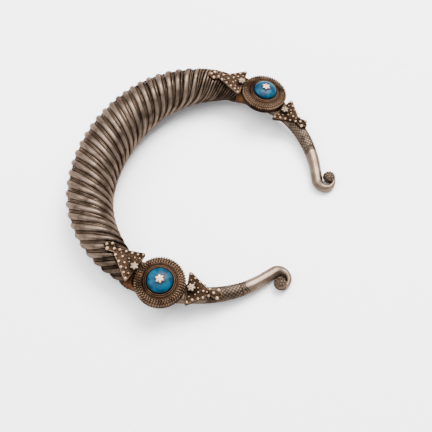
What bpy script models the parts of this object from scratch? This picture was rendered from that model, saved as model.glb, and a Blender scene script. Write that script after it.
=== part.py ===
"""Hasli necklace: a rigid neck ring of wound silver wire with two jewelled bosses and two hooked ends.

Metres, +Z up. The ring lies on a table with its opening toward -Y, on the underside of its thick back
and on the knobs of its two hooks. The pieces are modelled in the ring's own plane, where the middle of
the back is the origin and the centre line of the ring is at height nought, and one empty lays the whole
necklace down. Every piece of the right-hand end is at +X, and the left-hand end is its mirror image.
"""

from math import asin, ceil, copysign, cos, pi, radians, sin, sqrt

import bmesh
import bpy
from mathutils import Matrix, Vector

# Fit between touching pieces, and depth of the worn flats that the necklace rests on
GAP = 0.0003
REST_FLAT = 0.0003

# Centre line, seen from above: three arcs from the middle of the back to the end of each rod
BACK_ARC_RADIUS = 0.1080
BACK_ARC_TURN = radians(22.1)
SIDE_ARC_RADIUS = 0.0631
SIDE_ARC_TURN = radians(16.8)
FRONT_ARC_RADIUS = 0.0748
COIL_TURN = radians(73.5)
COLLAR_TURN = radians(86.0)
BOSS_TURN = radians(95.8)
ROD_TURN = radians(149.0)

# Both sides of the ring rise a little above the plane through its back and its hooks
ARCH_RISE = 0.0040

# Wound wire: strands of thick wire side by side, around a tube that is thickest at the back
COIL_BACK_RADIUS = 0.0179
COIL_END_RADIUS = 0.0100
COIL_TAPER = 0.75
WIRE_PITCH = 0.0070
WIRE_START = 0.0014
WIRE_GROOVE = 0.0021
WIRE_CROWN = 0.0004
STRANDS = 7
COIL_SIDES = 14

# Collar of plain sheet between the wire and the boss
COLLAR_RADIUS = 0.0097
COLLAR_SIDES = 20

# Terminal: a socket under the boss, a tapering rod, and a flattened curl that ends in a knob
SOCKET_RADIUS = 0.0092
ROD_RADIUS = 0.0053
ROD_THROAT_TURN = radians(120.0)
ROD_END_RADIUS = 0.0040
ROD_STRAIGHT = 0.0105
STRIP_WIDTH = 0.0030
STRIP_HEIGHT = 0.0064
CURL_RADIUS = 0.0058
CURL_TURN = radians(185.0)
KNOB_RADIUS = 0.0044
KNOB_HEIGHT = 0.0082
KNOB_FLUTE = 0.0005
KNOB_RISE = 0.0015
KNOB_CLEARANCE = 0.0004
ROD_SIDES = 12
KNOB_SIDES = 12
KNOB_RINGS = 8

# Boss: a stepped disc that leans outward a little, with a bezel round its stone
BOSS_RADIUS = 0.0165
BOSS_FOOT = 0.0046
BOSS_WALL = 0.0044
BOSS_INSET = 0.0010
BOSS_LEAN = radians(4.5)
OUTER_ROPE_RADIUS = 0.0139
INNER_ROPE_RADIUS = 0.0111
ROPE_RADIUS = 0.0006
STEP_RISE = 0.0004
BEZEL_RADIUS = 0.0095
BEZEL_WALL = 0.0009
BEZEL_RISE = 0.0010
BOSS_SIDES = 24

# Cabochon, its flat crown, and the flower stud on it
STONE_RADIUS = 0.0083
STONE_SEAT_DEPTH = 0.0014
STONE_DOME = 0.0032
STONE_CROWN_RADIUS = 0.0016
STONE_RINGS = 3
FLOWER_RADIUS = 0.0034
FLOWER_HEIGHT = 0.0014

# Granulated plates on both sides of each boss, and their rosettes
PLATE_WIDTH = 0.0222
PLATE_LENGTH = 0.0232
PLATE_CORNER = 0.0012
PLATE_EDGE = 0.0004
PLATE_TIP_RADIUS = 0.0026
COIL_PLATE_TURN = radians(83.0)
COIL_PLATE_THICKNESS = 0.0018
COIL_PLATE_SHIFT = 0.0016
COIL_PLATE_LEAN = 0.0027
COIL_PLATE_BED = 0.0011
HOOK_PLATE_TURN = radians(107.5)
HOOK_PLATE_THICKNESS = 0.0023
HOOK_PLATE_SHIFT = 0.0004
HOOK_PLATE_LEAN = 0.0012
HOOK_PLATE_FOOT = 0.0038
GRANULE_RADIUS = 0.0010
GRANULE_SPACING = 0.0044
GRANULE_INSET = 0.0017
TIP_GRANULE_RADIUS = 0.0012
ROSETTE_RADIUS = 0.0028
ROSETTE_HEIGHT = 0.0024
COIL_ROSETTE_REACH = 0.0014
PETALS = 6

# Where the arcs of the centre line hand over, and half the length of the wound part
ARCS = ((BACK_ARC_RADIUS, BACK_ARC_TURN), (SIDE_ARC_RADIUS, SIDE_ARC_TURN), (FRONT_ARC_RADIUS, pi))
UP = Vector((0.0, 0.0, 1.0))


def centre_line(turn):
    """Point of the centre line where it has turned by this angle from the middle of the back."""
    x = 0.0
    y = 0.0
    done = 0.0
    for radius, arc_turn in ARCS:
        step = min(max(abs(turn) - done, 0.0), arc_turn)
        x += radius * (sin(done + step) - sin(done))
        y += radius * (cos(done + step) - cos(done))
        done += step
    return Vector((copysign(x, turn), y, 0.0))


def length_at(turn):
    """Length along the centre line from the middle of the back to this turn."""
    length = 0.0
    done = 0.0
    for radius, arc_turn in ARCS:
        step = min(max(abs(turn) - done, 0.0), arc_turn)
        length += radius * step
        done += step
    return copysign(length, turn)


def turn_at(length):
    """Angle that the centre line has turned after this length from the middle of the back."""
    left = abs(length)
    turn = 0.0
    for radius, arc_turn in ARCS:
        step = min(left, radius * arc_turn)
        turn += step / radius
        left -= step
    return copysign(turn, length)


def forward(turn):
    """Direction along the ring, away from the left end."""
    return Vector((cos(turn), -sin(turn), 0.0))


def outward(turn):
    """Direction square to the ring, away from the neck."""
    return Vector((sin(turn), cos(turn), 0.0))


def coil_radius(length):
    """Radius over the crowns of the wound wire, at a length from the middle of the back."""
    share = min(abs(length) / length_at(COIL_TURN), 1.0)
    return COIL_END_RADIUS + (COIL_BACK_RADIUS - COIL_END_RADIUS) * cos(share * pi / 2) ** COIL_TAPER


# The curl: it starts where the straight stretch of the rod ends, and turns the other way
ROD_END = centre_line(ROD_TURN) + forward(ROD_TURN) * ROD_STRAIGHT
CURL_CENTRE = ROD_END + outward(ROD_TURN) * CURL_RADIUS
CURL_END_TURN = ROD_TURN - CURL_TURN
CURL_END = CURL_CENTRE - outward(CURL_END_TURN) * CURL_RADIUS
HOOK_REACH = CURL_RADIUS - CURL_CENTRE.y

# The knob touches the end of the curl and stands beside the rod, at its clearance
ROOM_BESIDE_ROD = (CURL_END - ROD_END).dot(outward(ROD_TURN)) - ROD_END_RADIUS
KNOB_SIDEWAYS = ROOM_BESIDE_ROD - KNOB_CLEARANCE - KNOB_RADIUS
KNOB_BACKWARD = sqrt(KNOB_RADIUS ** 2 - KNOB_SIDEWAYS ** 2)
KNOB_PLACE = CURL_END - outward(ROD_TURN) * KNOB_SIDEWAYS - forward(ROD_TURN) * KNOB_BACKWARD

def raised(point):
    """Point of the flat centre line, lifted by the arch of the sides."""
    share = -point.y / HOOK_REACH
    return point + UP * 4 * ARCH_RISE * share * (1 - share)


# How the necklace lies: thick back and hooks on the table, centred in its own box
KNOB_CENTRE = raised(KNOB_PLACE) + UP * KNOB_RISE
LIFT = COIL_BACK_RADIUS - WIRE_CROWN - REST_FLAT
TILT = asin((COIL_BACK_RADIUS - WIRE_CROWN - STRIP_HEIGHT / 2) / HOOK_REACH)
FRONT_EDGE = (CURL_CENTRE.y - CURL_RADIUS - STRIP_WIDTH / 2) * cos(TILT) - STRIP_HEIGHT / 2 * sin(TILT)
MIDDLE_Y = (COIL_BACK_RADIUS + FRONT_EDGE) / 2

# The boss and the two plates beside it, as frames in the ring's plane on the right-hand side
BOSS_CENTRE = raised(centre_line(BOSS_TURN) - outward(BOSS_TURN) * BOSS_INSET) + UP * BOSS_FOOT
BOSS_FRAME = (Matrix.Translation(BOSS_CENTRE)
              @ Matrix.Rotation(-BOSS_TURN, 4, "Z")
              @ Matrix.Rotation(-BOSS_LEAN, 4, "X"))
PLATE_DISTANCE = BOSS_RADIUS + 2 * GAP


def plate_frame(direction, toward_neck, shift, foot, tip_foot):
    """Frame of a plate: X from its base to its tip, Z up, its underside passing through both feet."""
    base = BOSS_CENTRE + direction * PLATE_DISTANCE - toward_neck * shift
    base.z = 0.0
    tip = raised(base + direction * PLATE_LENGTH) + UP * tip_foot
    base = raised(base) + UP * foot
    slope = asin((tip.z - base.z) / PLATE_LENGTH)
    turned_in_plane = Matrix((direction, UP.cross(direction), UP)).transposed().to_4x4()
    return Matrix.Translation(base) @ turned_in_plane @ Matrix.Rotation(-slope, 4, "Y")


def coil_plate_frame():
    """Plate on the wound wire: bedded a little into the collar and into the crowns of the wire."""
    tip_length = length_at(BOSS_TURN) - PLATE_DISTANCE - PLATE_LENGTH
    toward_neck = -outward(COIL_PLATE_TURN)
    foot = COLLAR_RADIUS - COIL_PLATE_BED
    tip_foot = coil_radius(tip_length) - COIL_PLATE_BED
    return plate_frame(-forward(COIL_PLATE_TURN), toward_neck, COIL_PLATE_SHIFT, foot, tip_foot)


def hook_plate_frame():
    """Plate on the rod: it rests on the flattened top of the socket and of the rod."""
    toward_neck = -outward(HOOK_PLATE_TURN)
    tip_foot = ROD_RADIUS - HOOK_PLATE_THICKNESS / 4
    return plate_frame(forward(HOOK_PLATE_TURN), toward_neck, HOOK_PLATE_SHIFT, HOOK_PLATE_FOOT, tip_foot)


def metal(name, colour, metallic, roughness):
    """Material with one Principled shader."""
    material = bpy.data.materials.new(name)
    material.use_nodes = True
    shader = material.node_tree.nodes["Principled BSDF"]
    shader.inputs["Base Color"].default_value = (*colour, 1.0)
    shader.inputs["Metallic"].default_value = metallic
    shader.inputs["Roughness"].default_value = roughness
    return material


def loft(bm, rings):
    """Skin over a row of rings that have equally many points, closed by a flat face at each end."""
    loops = [[bm.verts.new(point) for point in ring] for ring in rings]
    for low, high in zip(loops, loops[1:]):
        for index in range(len(low)):
            after = (index + 1) % len(low)
            bm.faces.new((low[index], low[after], high[after], high[index]))
    bm.faces.new(loops[0])
    bm.faces.new(loops[-1])


def turned(profile, sides):
    """Body turned round Z from a profile of radius and height that starts and ends on the axis."""
    bm = bmesh.new()
    verts = [bm.verts.new((radius, 0.0, height)) for radius, height in profile]
    edges = [bm.edges.new(pair) for pair in zip(verts, verts[1:])]
    bmesh.ops.spin(bm, geom=verts + edges, cent=(0, 0, 0), axis=(0, 0, 1), angle=2 * pi, steps=sides,
                   use_merge=True)
    bmesh.ops.remove_doubles(bm, verts=bm.verts, dist=1e-6)
    return bm


def cut_flat(bm, point, normal):
    """Cut away what lies beyond a plane and close the cut with flat faces."""
    everything = bm.verts[:] + bm.edges[:] + bm.faces[:]
    bmesh.ops.bisect_plane(bm, geom=everything, dist=1e-7, plane_co=point, plane_no=normal, clear_outer=True)
    open_edges = [edge for edge in bm.edges if edge.is_boundary]
    bmesh.ops.holes_fill(bm, edges=open_edges, sides=0)


def cut_at_table(bm):
    """Wear a flat where a piece would reach below the table."""
    cut_flat(bm, -UP * LIFT / cos(TILT), Vector((0.0, -sin(TILT), -cos(TILT))))


def add_object(name, bm, material, frame=None, side=1):
    """Object of a mesh that was built at +X, mirrored to -X for the left side."""
    if frame is not None:
        bmesh.ops.transform(bm, matrix=frame, verts=bm.verts)
    if side < 0:
        bmesh.ops.transform(bm, matrix=Matrix.Scale(-1, 4, (1, 0, 0)), verts=bm.verts)
    bmesh.ops.recalc_face_normals(bm, faces=bm.faces)
    mesh = bpy.data.meshes.new(name)
    bm.to_mesh(mesh)
    bm.free()
    mesh.shade_smooth()
    mesh.set_sharp_from_angle(angle=radians(35.0))
    mesh.materials.append(material)
    thing = bpy.data.objects.new(name, mesh)
    thing.parent = LAID_DOWN
    bpy.context.scene.collection.objects.link(thing)
    return thing


def combine(thing, operation, tool):
    """Boolean of a piece with a helper body that isn't a piece itself."""
    tool.hide_render = True
    tool.display_type = "WIRE"
    modifier = thing.modifiers.new(f"{operation.title()} {tool.name}", "BOOLEAN")
    modifier.operation = operation
    modifier.solver = "EXACT"
    modifier.object = tool


def build_hoop(material, seats):
    """Wound wire: ridges that climb round the tube, on a grid that follows the strands."""
    columns = ((-0.26, WIRE_CROWN), (0.26, WIRE_CROWN), (0.5, WIRE_GROOVE))
    reach = length_at(COIL_TURN)
    lead = STRANDS * WIRE_PITCH
    first = -ceil((reach + lead) / WIRE_PITCH) - 1
    last = ceil((reach + lead) / WIRE_PITCH) + 1
    bm = bmesh.new()
    grid = []
    for ridge in range(first, last + 1):
        for share, sink in columns:
            column = []
            for step in range(COIL_SIDES):
                angle = pi * (2 * step + 1) / COIL_SIDES
                length = WIRE_START + WIRE_PITCH * (ridge + share) - lead * step / COIL_SIDES
                turn = turn_at(length)
                radius = coil_radius(length) - sink
                spoke = outward(turn) * cos(angle) + UP * sin(angle)
                column.append(bm.verts.new(raised(centre_line(turn)) + spoke * radius))
            grid.append(column)
    shift = STRANDS * len(columns)
    for index in range(shift, len(grid) - 1):
        here = grid[index] + [grid[index - shift][0]]
        beyond = grid[index + 1] + [grid[index + 1 - shift][0]]
        for step in range(COIL_SIDES):
            bm.faces.new((here[step], here[step + 1], beyond[step + 1], beyond[step]))
    for turn in (COIL_TURN, -COIL_TURN):
        cut_flat(bm, centre_line(turn), forward(turn) * copysign(1, turn))
    cut_at_table(bm)
    hoop = add_object("wound_wire_hoop", bm, material)
    for seat in seats:
        combine(hoop, "DIFFERENCE", seat)


def ring_of_section(centre, across, half_width, half_height, sides):
    """Points round an oval section that stands across the ring."""
    angles = [2 * pi * step / sides for step in range(sides)]
    centre = raised(centre)
    return [centre + across * half_width * cos(angle) + UP * half_height * sin(angle) for angle in angles]


def blend(start, end, share):
    """Value that eases from start to end as share goes from nought to one."""
    share = min(max(share, 0.0), 1.0)
    return start + (end - start) * (1 - cos(pi * share)) / 2


def spread(start, end, count):
    """Evenly spaced values from start to end, both included."""
    return [start + (end - start) * step / (count - 1) for step in range(count)]


def build_collar(name, side, material, seats):
    """Sleeve of plain sheet from the end of the wire to under the boss."""
    start = COIL_TURN + GAP / FRONT_ARC_RADIUS
    under_boss = BOSS_TURN - PLATE_DISTANCE / FRONT_ARC_RADIUS
    rings = []
    for turn in spread(start, COLLAR_TURN, 6):
        share = (turn - under_boss) / (COLLAR_TURN - under_boss)
        radius = blend(COLLAR_RADIUS, SOCKET_RADIUS, share)
        rings.append(ring_of_section(centre_line(turn), outward(turn), radius, radius, COLLAR_SIDES))
    bm = bmesh.new()
    loft(bm, rings)
    collar = add_object(name, bm, material, side=side)
    for seat in seats:
        combine(collar, "DIFFERENCE", seat)


def terminal_rings():
    """Sections of a terminal, from its socket to the end of its curl."""
    rings = []
    start = COLLAR_TURN + GAP / FRONT_ARC_RADIUS
    for turn in spread(start, ROD_THROAT_TURN, 8):
        radius = blend(SOCKET_RADIUS, ROD_RADIUS, (turn - start) / (ROD_THROAT_TURN - start))
        rings.append(ring_of_section(centre_line(turn), outward(turn), radius, radius, ROD_SIDES))
    for turn in spread(ROD_THROAT_TURN, ROD_TURN, 6)[1:]:
        share = (turn - ROD_THROAT_TURN) / (ROD_TURN - ROD_THROAT_TURN)
        radius = ROD_RADIUS + (ROD_END_RADIUS - ROD_RADIUS) * share
        rings.append(ring_of_section(centre_line(turn), outward(turn), radius, radius, ROD_SIDES))
    for step in spread(0.0, CURL_TURN, 11):
        turn = ROD_TURN - step
        share = step / (CURL_TURN / 3)
        half_width = blend(ROD_END_RADIUS, STRIP_WIDTH / 2, share)
        half_height = blend(ROD_END_RADIUS, STRIP_HEIGHT / 2, share)
        centre = CURL_CENTRE - outward(turn) * CURL_RADIUS
        rings.append(ring_of_section(centre, outward(turn), half_width, half_height, ROD_SIDES))
    return rings


def build_knob(name, side, material):
    """Fluted bead at the end of the curl, with a vertical axis."""
    bm = bmesh.new()
    bmesh.ops.create_uvsphere(bm, u_segments=KNOB_SIDES, v_segments=KNOB_RINGS, radius=1.0)
    for vert in bm.verts:
        flute = KNOB_FLUTE if round(vert.co.to_2d().angle_signed(Vector((1, 0)), 0.0)
                                    / (2 * pi / KNOB_SIDES)) % 2 else 0.0
        vert.co.xy *= KNOB_RADIUS - flute
        vert.co.z *= KNOB_HEIGHT / 2
    return add_object(name, bm, material, Matrix.Translation(KNOB_CENTRE), side)


def build_terminal(name, side, material, seats):
    """Socket, rod, curl and knob in one piece, cut flat under the boss and under its plate."""
    bm = bmesh.new()
    loft(bm, terminal_rings())
    terminal = add_object(name, bm, material, side=side)
    for seat in seats:
        combine(terminal, "DIFFERENCE", seat)
    knob = build_knob(f"{name}_knob", side, material)
    combine(terminal, "UNION", knob)
    combine(terminal, "DIFFERENCE", build_table(f"{name}_table", side, material))


def build_table(name, side, material):
    """Slab whose top is the table, under a hook."""
    slab_half = 4 * KNOB_RADIUS
    bm = bmesh.new()
    bmesh.ops.create_cube(bm, size=2 * slab_half)
    table_point = -UP * LIFT / cos(TILT)
    table_normal = Vector((0.0, sin(TILT), cos(TILT)))
    drop = (KNOB_CENTRE - table_point).dot(table_normal) + slab_half
    frame = Matrix.Translation(KNOB_CENTRE - table_normal * drop) @ Matrix.Rotation(-TILT, 4, "X")
    return add_object(name, bm, material, frame, side)


def build_boss_seat(name, side, material):
    """Space that the boss takes out of the collar and the socket."""
    bm = turned(((0.0, -GAP), (PLATE_DISTANCE - GAP, -GAP), (PLATE_DISTANCE - GAP, 2 * BOSS_WALL),
                 (0.0, 2 * BOSS_WALL)), BOSS_SIDES)
    return add_object(name, bm, material, BOSS_FRAME, side)


def build_plate_seat(name, side, material, frame):
    """Space that a plate takes out of what it lies on, with room for its tip."""
    length = PLATE_LENGTH + BOSS_RADIUS / 4 + PLATE_TIP_RADIUS
    bm = bmesh.new()
    bmesh.ops.create_cube(bm, size=1.0)
    bmesh.ops.scale(bm, vec=(length, PLATE_WIDTH, SOCKET_RADIUS), verts=bm.verts)
    middle = Vector((length / 2 - BOSS_RADIUS / 4, 0.0, SOCKET_RADIUS / 2 - GAP))
    bmesh.ops.translate(bm, vec=middle, verts=bm.verts)
    return add_object(name, bm, material, frame, side)


def boss_profile():
    """Outline of the boss from its underside over two rope rings to the seat of the stone."""
    shoulder = BOSS_WALL + ROPE_RADIUS
    step = shoulder + STEP_RISE
    bezel_top = step + BEZEL_RISE
    return (
        (0.0, 0.0),
        (BOSS_RADIUS - PLATE_EDGE, 0.0),
        (BOSS_RADIUS, PLATE_EDGE),
        (BOSS_RADIUS, BOSS_WALL - PLATE_EDGE),
        (BOSS_RADIUS - 2 * PLATE_EDGE, BOSS_WALL),
        (OUTER_ROPE_RADIUS + ROPE_RADIUS, BOSS_WALL + PLATE_EDGE),
        (OUTER_ROPE_RADIUS, shoulder + ROPE_RADIUS),
        (OUTER_ROPE_RADIUS - ROPE_RADIUS, shoulder),
        (INNER_ROPE_RADIUS + ROPE_RADIUS, shoulder + PLATE_EDGE),
        (INNER_ROPE_RADIUS, step + ROPE_RADIUS),
        (INNER_ROPE_RADIUS - ROPE_RADIUS, step),
        (BEZEL_RADIUS, bezel_top - PLATE_EDGE),
        (BEZEL_RADIUS - BEZEL_WALL / 2, bezel_top),
        (STONE_RADIUS + GAP, bezel_top - PLATE_EDGE),
        (STONE_RADIUS + GAP, bezel_top - STONE_SEAT_DEPTH),
        (0.0, bezel_top - STONE_SEAT_DEPTH),
    )


def stone_foot():
    """Height of the stone's underside above the foot of the boss."""
    return boss_profile()[-1][1] + GAP


def stone_crown():
    """Height of the stone's flat crown above the foot of the boss."""
    return stone_foot() + STONE_SEAT_DEPTH + STONE_DOME


def build_stone(name, side, material):
    """Cabochon: a straight girdle in the bezel and a dome with a small flat crown."""
    girdle = stone_foot() + STONE_SEAT_DEPTH
    end = asin(STONE_CROWN_RADIUS / STONE_RADIUS)
    rise = STONE_DOME / cos(end)
    profile = [(0.0, stone_foot()), (STONE_RADIUS, stone_foot())]
    for angle in spread(0.0, pi / 2 - end, STONE_RINGS + 1):
        profile.append((STONE_RADIUS * cos(angle), girdle + rise * sin(angle)))
    profile.append((0.0, stone_crown()))
    return add_object(name, turned(profile, BOSS_SIDES), material, BOSS_FRAME, side)


def flower(radius, height):
    """Flower of six raised petals round a dimpled heart, on its own flat foot."""
    bm = bmesh.new()
    points = 2 * PETALS
    levels = ((1.0, 0.0), (1.0, 0.35), (0.72, 0.8), (0.3, 1.0))
    rings = []
    for share, rise in levels:
        ring = []
        for index in range(points):
            notch = 0.62 if index % 2 else 1.0
            reach = radius * share * (notch if share > 0.5 else 1.0)
            angle = 2 * pi * index / points
            ring.append(Vector((reach * cos(angle), reach * sin(angle), height * rise)))
        rings.append(ring)
    loft(bm, rings)
    return bm


def plate_outline(inset, lean):
    """Outline of a plate from its base to the small lobe at its leaning tip, drawn in by an inset."""
    half = PLATE_WIDTH / 2 - inset
    tip = PLATE_TIP_RADIUS - inset
    waist = PLATE_LENGTH - 2 * PLATE_TIP_RADIUS
    one_half = (
        (inset, half - PLATE_CORNER),
        (PLATE_CORNER, half),
        (waist, tip * 0.75),
        (PLATE_LENGTH - tip, tip),
        (PLATE_LENGTH + tip * 0.4, tip * 0.8),
        (PLATE_LENGTH + tip, tip * 0.2),
    )
    outline = list(one_half) + [(x, -y) for x, y in reversed(one_half)]
    return [(x, y + lean * x / PLATE_LENGTH) for x, y in outline]


def granule_places(lean):
    """Places and radii of the granules on a plate: down both edges, and two at the tip."""
    places = []
    slope = (PLATE_WIDTH / 2) / PLATE_LENGTH
    edge_count = round(PLATE_LENGTH / GRANULE_SPACING)
    for index in range(edge_count):
        x = GRANULE_INSET + index * (PLATE_LENGTH - 3 * GRANULE_INSET) / edge_count
        y = PLATE_WIDTH / 2 - GRANULE_INSET - slope * x
        places += [(x, y, GRANULE_RADIUS), (x, -y, GRANULE_RADIUS)]
    places += [(PLATE_LENGTH, TIP_GRANULE_RADIUS, TIP_GRANULE_RADIUS),
               (PLATE_LENGTH, -TIP_GRANULE_RADIUS, TIP_GRANULE_RADIUS)]
    return [(x, y + lean * x / PLATE_LENGTH, radius) for x, y, radius in places]


def build_granules(name, side, material, frame, thickness, lean):
    """Grains of metal, half sunk in the top of a plate."""
    bm = bmesh.new()
    for x, y, radius in granule_places(lean):
        place = Matrix.Translation((x, y, thickness))
        bmesh.ops.create_icosphere(bm, subdivisions=1, radius=radius, matrix=place)
    return add_object(name, bm, material, frame, side)


def build_plate(name, side, material, frame, thickness, lean):
    """Three-cornered plate with a softened upper edge and soldered granules."""
    levels = ((0.0, 0.0), (0.0, thickness - PLATE_EDGE), (PLATE_EDGE, thickness))
    bm = bmesh.new()
    loft(bm, [[Vector((x, y, height)) for x, y in plate_outline(inset, lean)] for inset, height in levels])
    plate = add_object(name, bm, material, frame, side)
    combine(plate, "UNION", build_granules(f"{name}_granules", side, material, frame, thickness, lean))


def build_side(word, side, silver, dark_silver, gilt, glass):
    """All pieces of one end of the necklace, but for the wire; returns the bed of the coil plate."""
    coil_frame = coil_plate_frame()
    hook_frame = hook_plate_frame()
    boss_seat = build_boss_seat(f"boss_seat_{word}", side, gilt)
    hook_seat = build_plate_seat(f"hook_plate_seat_{word}", side, gilt, hook_frame)
    coil_seat = build_plate_seat(f"coil_plate_seat_{word}", side, gilt, coil_frame)
    build_collar(f"collar_{word}", side, gilt, (boss_seat, coil_seat))
    build_terminal(f"terminal_{word}", side, silver, (boss_seat, hook_seat))
    add_object(f"boss_{word}", turned(boss_profile(), BOSS_SIDES), gilt, BOSS_FRAME, side)
    build_stone(f"cabochon_{word}", side, glass)
    flower_frame = BOSS_FRAME @ Matrix.Translation(UP * (stone_crown() + GAP))
    add_object(f"flower_stud_{word}", flower(FLOWER_RADIUS, FLOWER_HEIGHT), silver, flower_frame, side)
    build_plate(f"coil_plate_{word}", side, dark_silver, coil_frame, COIL_PLATE_THICKNESS, COIL_PLATE_LEAN)
    build_plate(f"hook_plate_{word}", side, dark_silver, hook_frame, HOOK_PLATE_THICKNESS, HOOK_PLATE_LEAN)
    coil_rosette = Vector((COIL_ROSETTE_REACH, 0.0, COIL_PLATE_THICKNESS + GAP))
    hook_rosette = Vector((ROSETTE_RADIUS, 0.0, HOOK_PLATE_THICKNESS + GAP))
    add_object(f"coil_rosette_{word}", flower(ROSETTE_RADIUS, ROSETTE_HEIGHT), silver,
               coil_frame @ Matrix.Translation(coil_rosette), side)
    add_object(f"hook_rosette_{word}", flower(ROSETTE_RADIUS, ROSETTE_HEIGHT), silver,
               hook_frame @ Matrix.Translation(hook_rosette), side)
    return coil_seat


def lay_down():
    """Empty that carries every piece and lays the necklace on the table."""
    empty = bpy.data.objects.new("laid_down", None)
    empty.location = (0.0, -MIDDLE_Y, LIFT)
    empty.rotation_euler = (TILT, 0.0, 0.0)
    bpy.context.scene.collection.objects.link(empty)
    return empty


for leftover in list(bpy.data.objects):
    bpy.data.objects.remove(leftover)

LAID_DOWN = lay_down()
SILVER = metal("silver", (0.62, 0.56, 0.51), 0.9, 0.32)
DARK_SILVER = metal("tarnished_silver", (0.24, 0.18, 0.14), 0.8, 0.45)
GILT = metal("worn_gilt", (0.30, 0.19, 0.12), 0.8, 0.42)
GLASS = metal("blue_glass", (0.03, 0.25, 0.42), 0.0, 0.12)

RIGHT_BED = build_side("right", 1, SILVER, DARK_SILVER, GILT, GLASS)
LEFT_BED = build_side("left", -1, SILVER, DARK_SILVER, GILT, GLASS)
build_hoop(SILVER, (RIGHT_BED, LEFT_BED))
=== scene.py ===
"""Looks of a hasli necklace: wound silver wire, two bosses with blue stones, and two hooked ends.

Metres, +Z up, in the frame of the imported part. Every shape is built in the ring's own plane, with the
middle of its back at the origin and +X to the right, and is laid on the table as the part is. The left
end is the mirror image of the right end.
"""

from __future__ import annotations

import logging
from dataclasses import dataclass, field
from enum import Enum
from math import asin, atan2, copysign, cos, exp, hypot, pi, radians, sin, sqrt
from typing import Callable, Iterable, Iterator, Sequence, Union

import bmesh
import bpy
from mathutils import Matrix, Vector

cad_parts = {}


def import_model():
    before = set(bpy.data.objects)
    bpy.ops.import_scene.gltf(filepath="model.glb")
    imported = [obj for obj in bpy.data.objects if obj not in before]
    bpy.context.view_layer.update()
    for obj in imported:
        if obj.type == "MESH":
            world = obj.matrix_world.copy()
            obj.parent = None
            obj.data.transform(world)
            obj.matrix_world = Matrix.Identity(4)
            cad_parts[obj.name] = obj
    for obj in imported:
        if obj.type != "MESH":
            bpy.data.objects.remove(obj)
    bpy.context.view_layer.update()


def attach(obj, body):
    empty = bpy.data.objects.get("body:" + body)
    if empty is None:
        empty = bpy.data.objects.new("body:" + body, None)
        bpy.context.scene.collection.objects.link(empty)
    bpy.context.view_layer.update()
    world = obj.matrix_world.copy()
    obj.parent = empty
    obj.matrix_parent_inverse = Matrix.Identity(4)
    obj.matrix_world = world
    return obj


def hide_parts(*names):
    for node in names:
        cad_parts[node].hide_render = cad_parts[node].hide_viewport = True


LOG = logging.getLogger("necklace")
Colour = tuple[float, float, float]
Section = list[Vector]
UP = Vector((0.0, 0.0, 1.0))
ROOT = "root"


class Side(Enum):
    """End of the necklace, with the sign of its X."""

    RIGHT = 1
    LEFT = -1

    @property
    def word(self) -> str:
        """Word for this end in the names of its pieces."""
        return self.name.lower()


class Slot(Enum):
    """Material slots of the record."""

    SILVER = "silver"
    TARNISHED = "tarnished_silver"
    GILT = "worn_gilt"
    GLASS = "blue_glass"


class Place(Enum):
    """The two plates beside a boss."""

    COIL = "coil"
    HOOK = "hook"


def blend(start: float, end: float, share: float) -> float:
    """Ease from one value to another.

    Args:
        start: Value where the share is nought.
        end: Value where the share is one.
        share: How far along, held between nought and one.

    Returns:
        The eased value.
    """
    share = min(max(share, 0.0), 1.0)
    return start + (end - start) * (1 - cos(pi * share)) / 2


def spread(start: float, end: float, count: int) -> list[float]:
    """Evenly spaced values.

    Args:
        start: First value.
        end: Last value.
        count: How many values.

    Returns:
        The values, both ends included.
    """
    return [start + (end - start) * step / (count - 1) for step in range(count)]


# ---------------------------------------------------------------- shader nodes


class Signal:
    """Output of a shader node that sums, products and other nodes can be made from."""

    def __init__(self, bench: Bench, socket: bpy.types.NodeSocket) -> None:
        """Keep the node's output and the bench that it lies on."""
        self.bench = bench
        self.socket = socket

    def _pair(self, operation: str, first: Value, second: Value) -> Signal:
        """Node for one operation on two values.

        Args:
            operation: Name of the Math, Vector Math or Mix operation.
            first: Left-hand value.
            second: Right-hand value.

        Returns:
            The result.
        """
        if self.socket.type == "RGBA":
            settings = {"data_type": "RGBA", "blend_type": operation, "clamp_result": True}
            return self.bench.add("ShaderNodeMix", settings, {0: 1.0, 6: first, 7: second}, 2)
        if self.socket.type == "VECTOR":
            return self.bench.add("ShaderNodeVectorMath", {"operation": operation}, {0: first, 1: second})
        return self.bench.add("ShaderNodeMath", {"operation": operation}, {0: first, 1: second})

    def __add__(self, other: Value) -> Signal:
        """Sum."""
        return self._pair("ADD", self, other)

    __radd__ = __add__

    def __sub__(self, other: Value) -> Signal:
        """Difference."""
        return self._pair("SUBTRACT", self, other)

    def __rsub__(self, other: Value) -> Signal:
        """Difference from a value on the left."""
        return self._pair("SUBTRACT", other, self)

    def __mul__(self, other: Value) -> Signal:
        """Product."""
        return self._pair("MULTIPLY", self, other)

    __rmul__ = __mul__

    def held(self) -> Signal:
        """The value, held between nought and one."""
        return self.bench.add("ShaderNodeClamp", {}, {"Value": self})

    def eased(self, low: float, high: float) -> Signal:
        """Smooth step of the value.

        Args:
            low: Value that gives nought.
            high: Value that gives one.

        Returns:
            A value from nought to one.
        """
        settings = {"interpolation_type": "SMOOTHSTEP"}
        return self.bench.add("ShaderNodeMapRange", settings, {"Value": self, 1: low, 2: high})


Value = Union[Signal, float, tuple]


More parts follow.
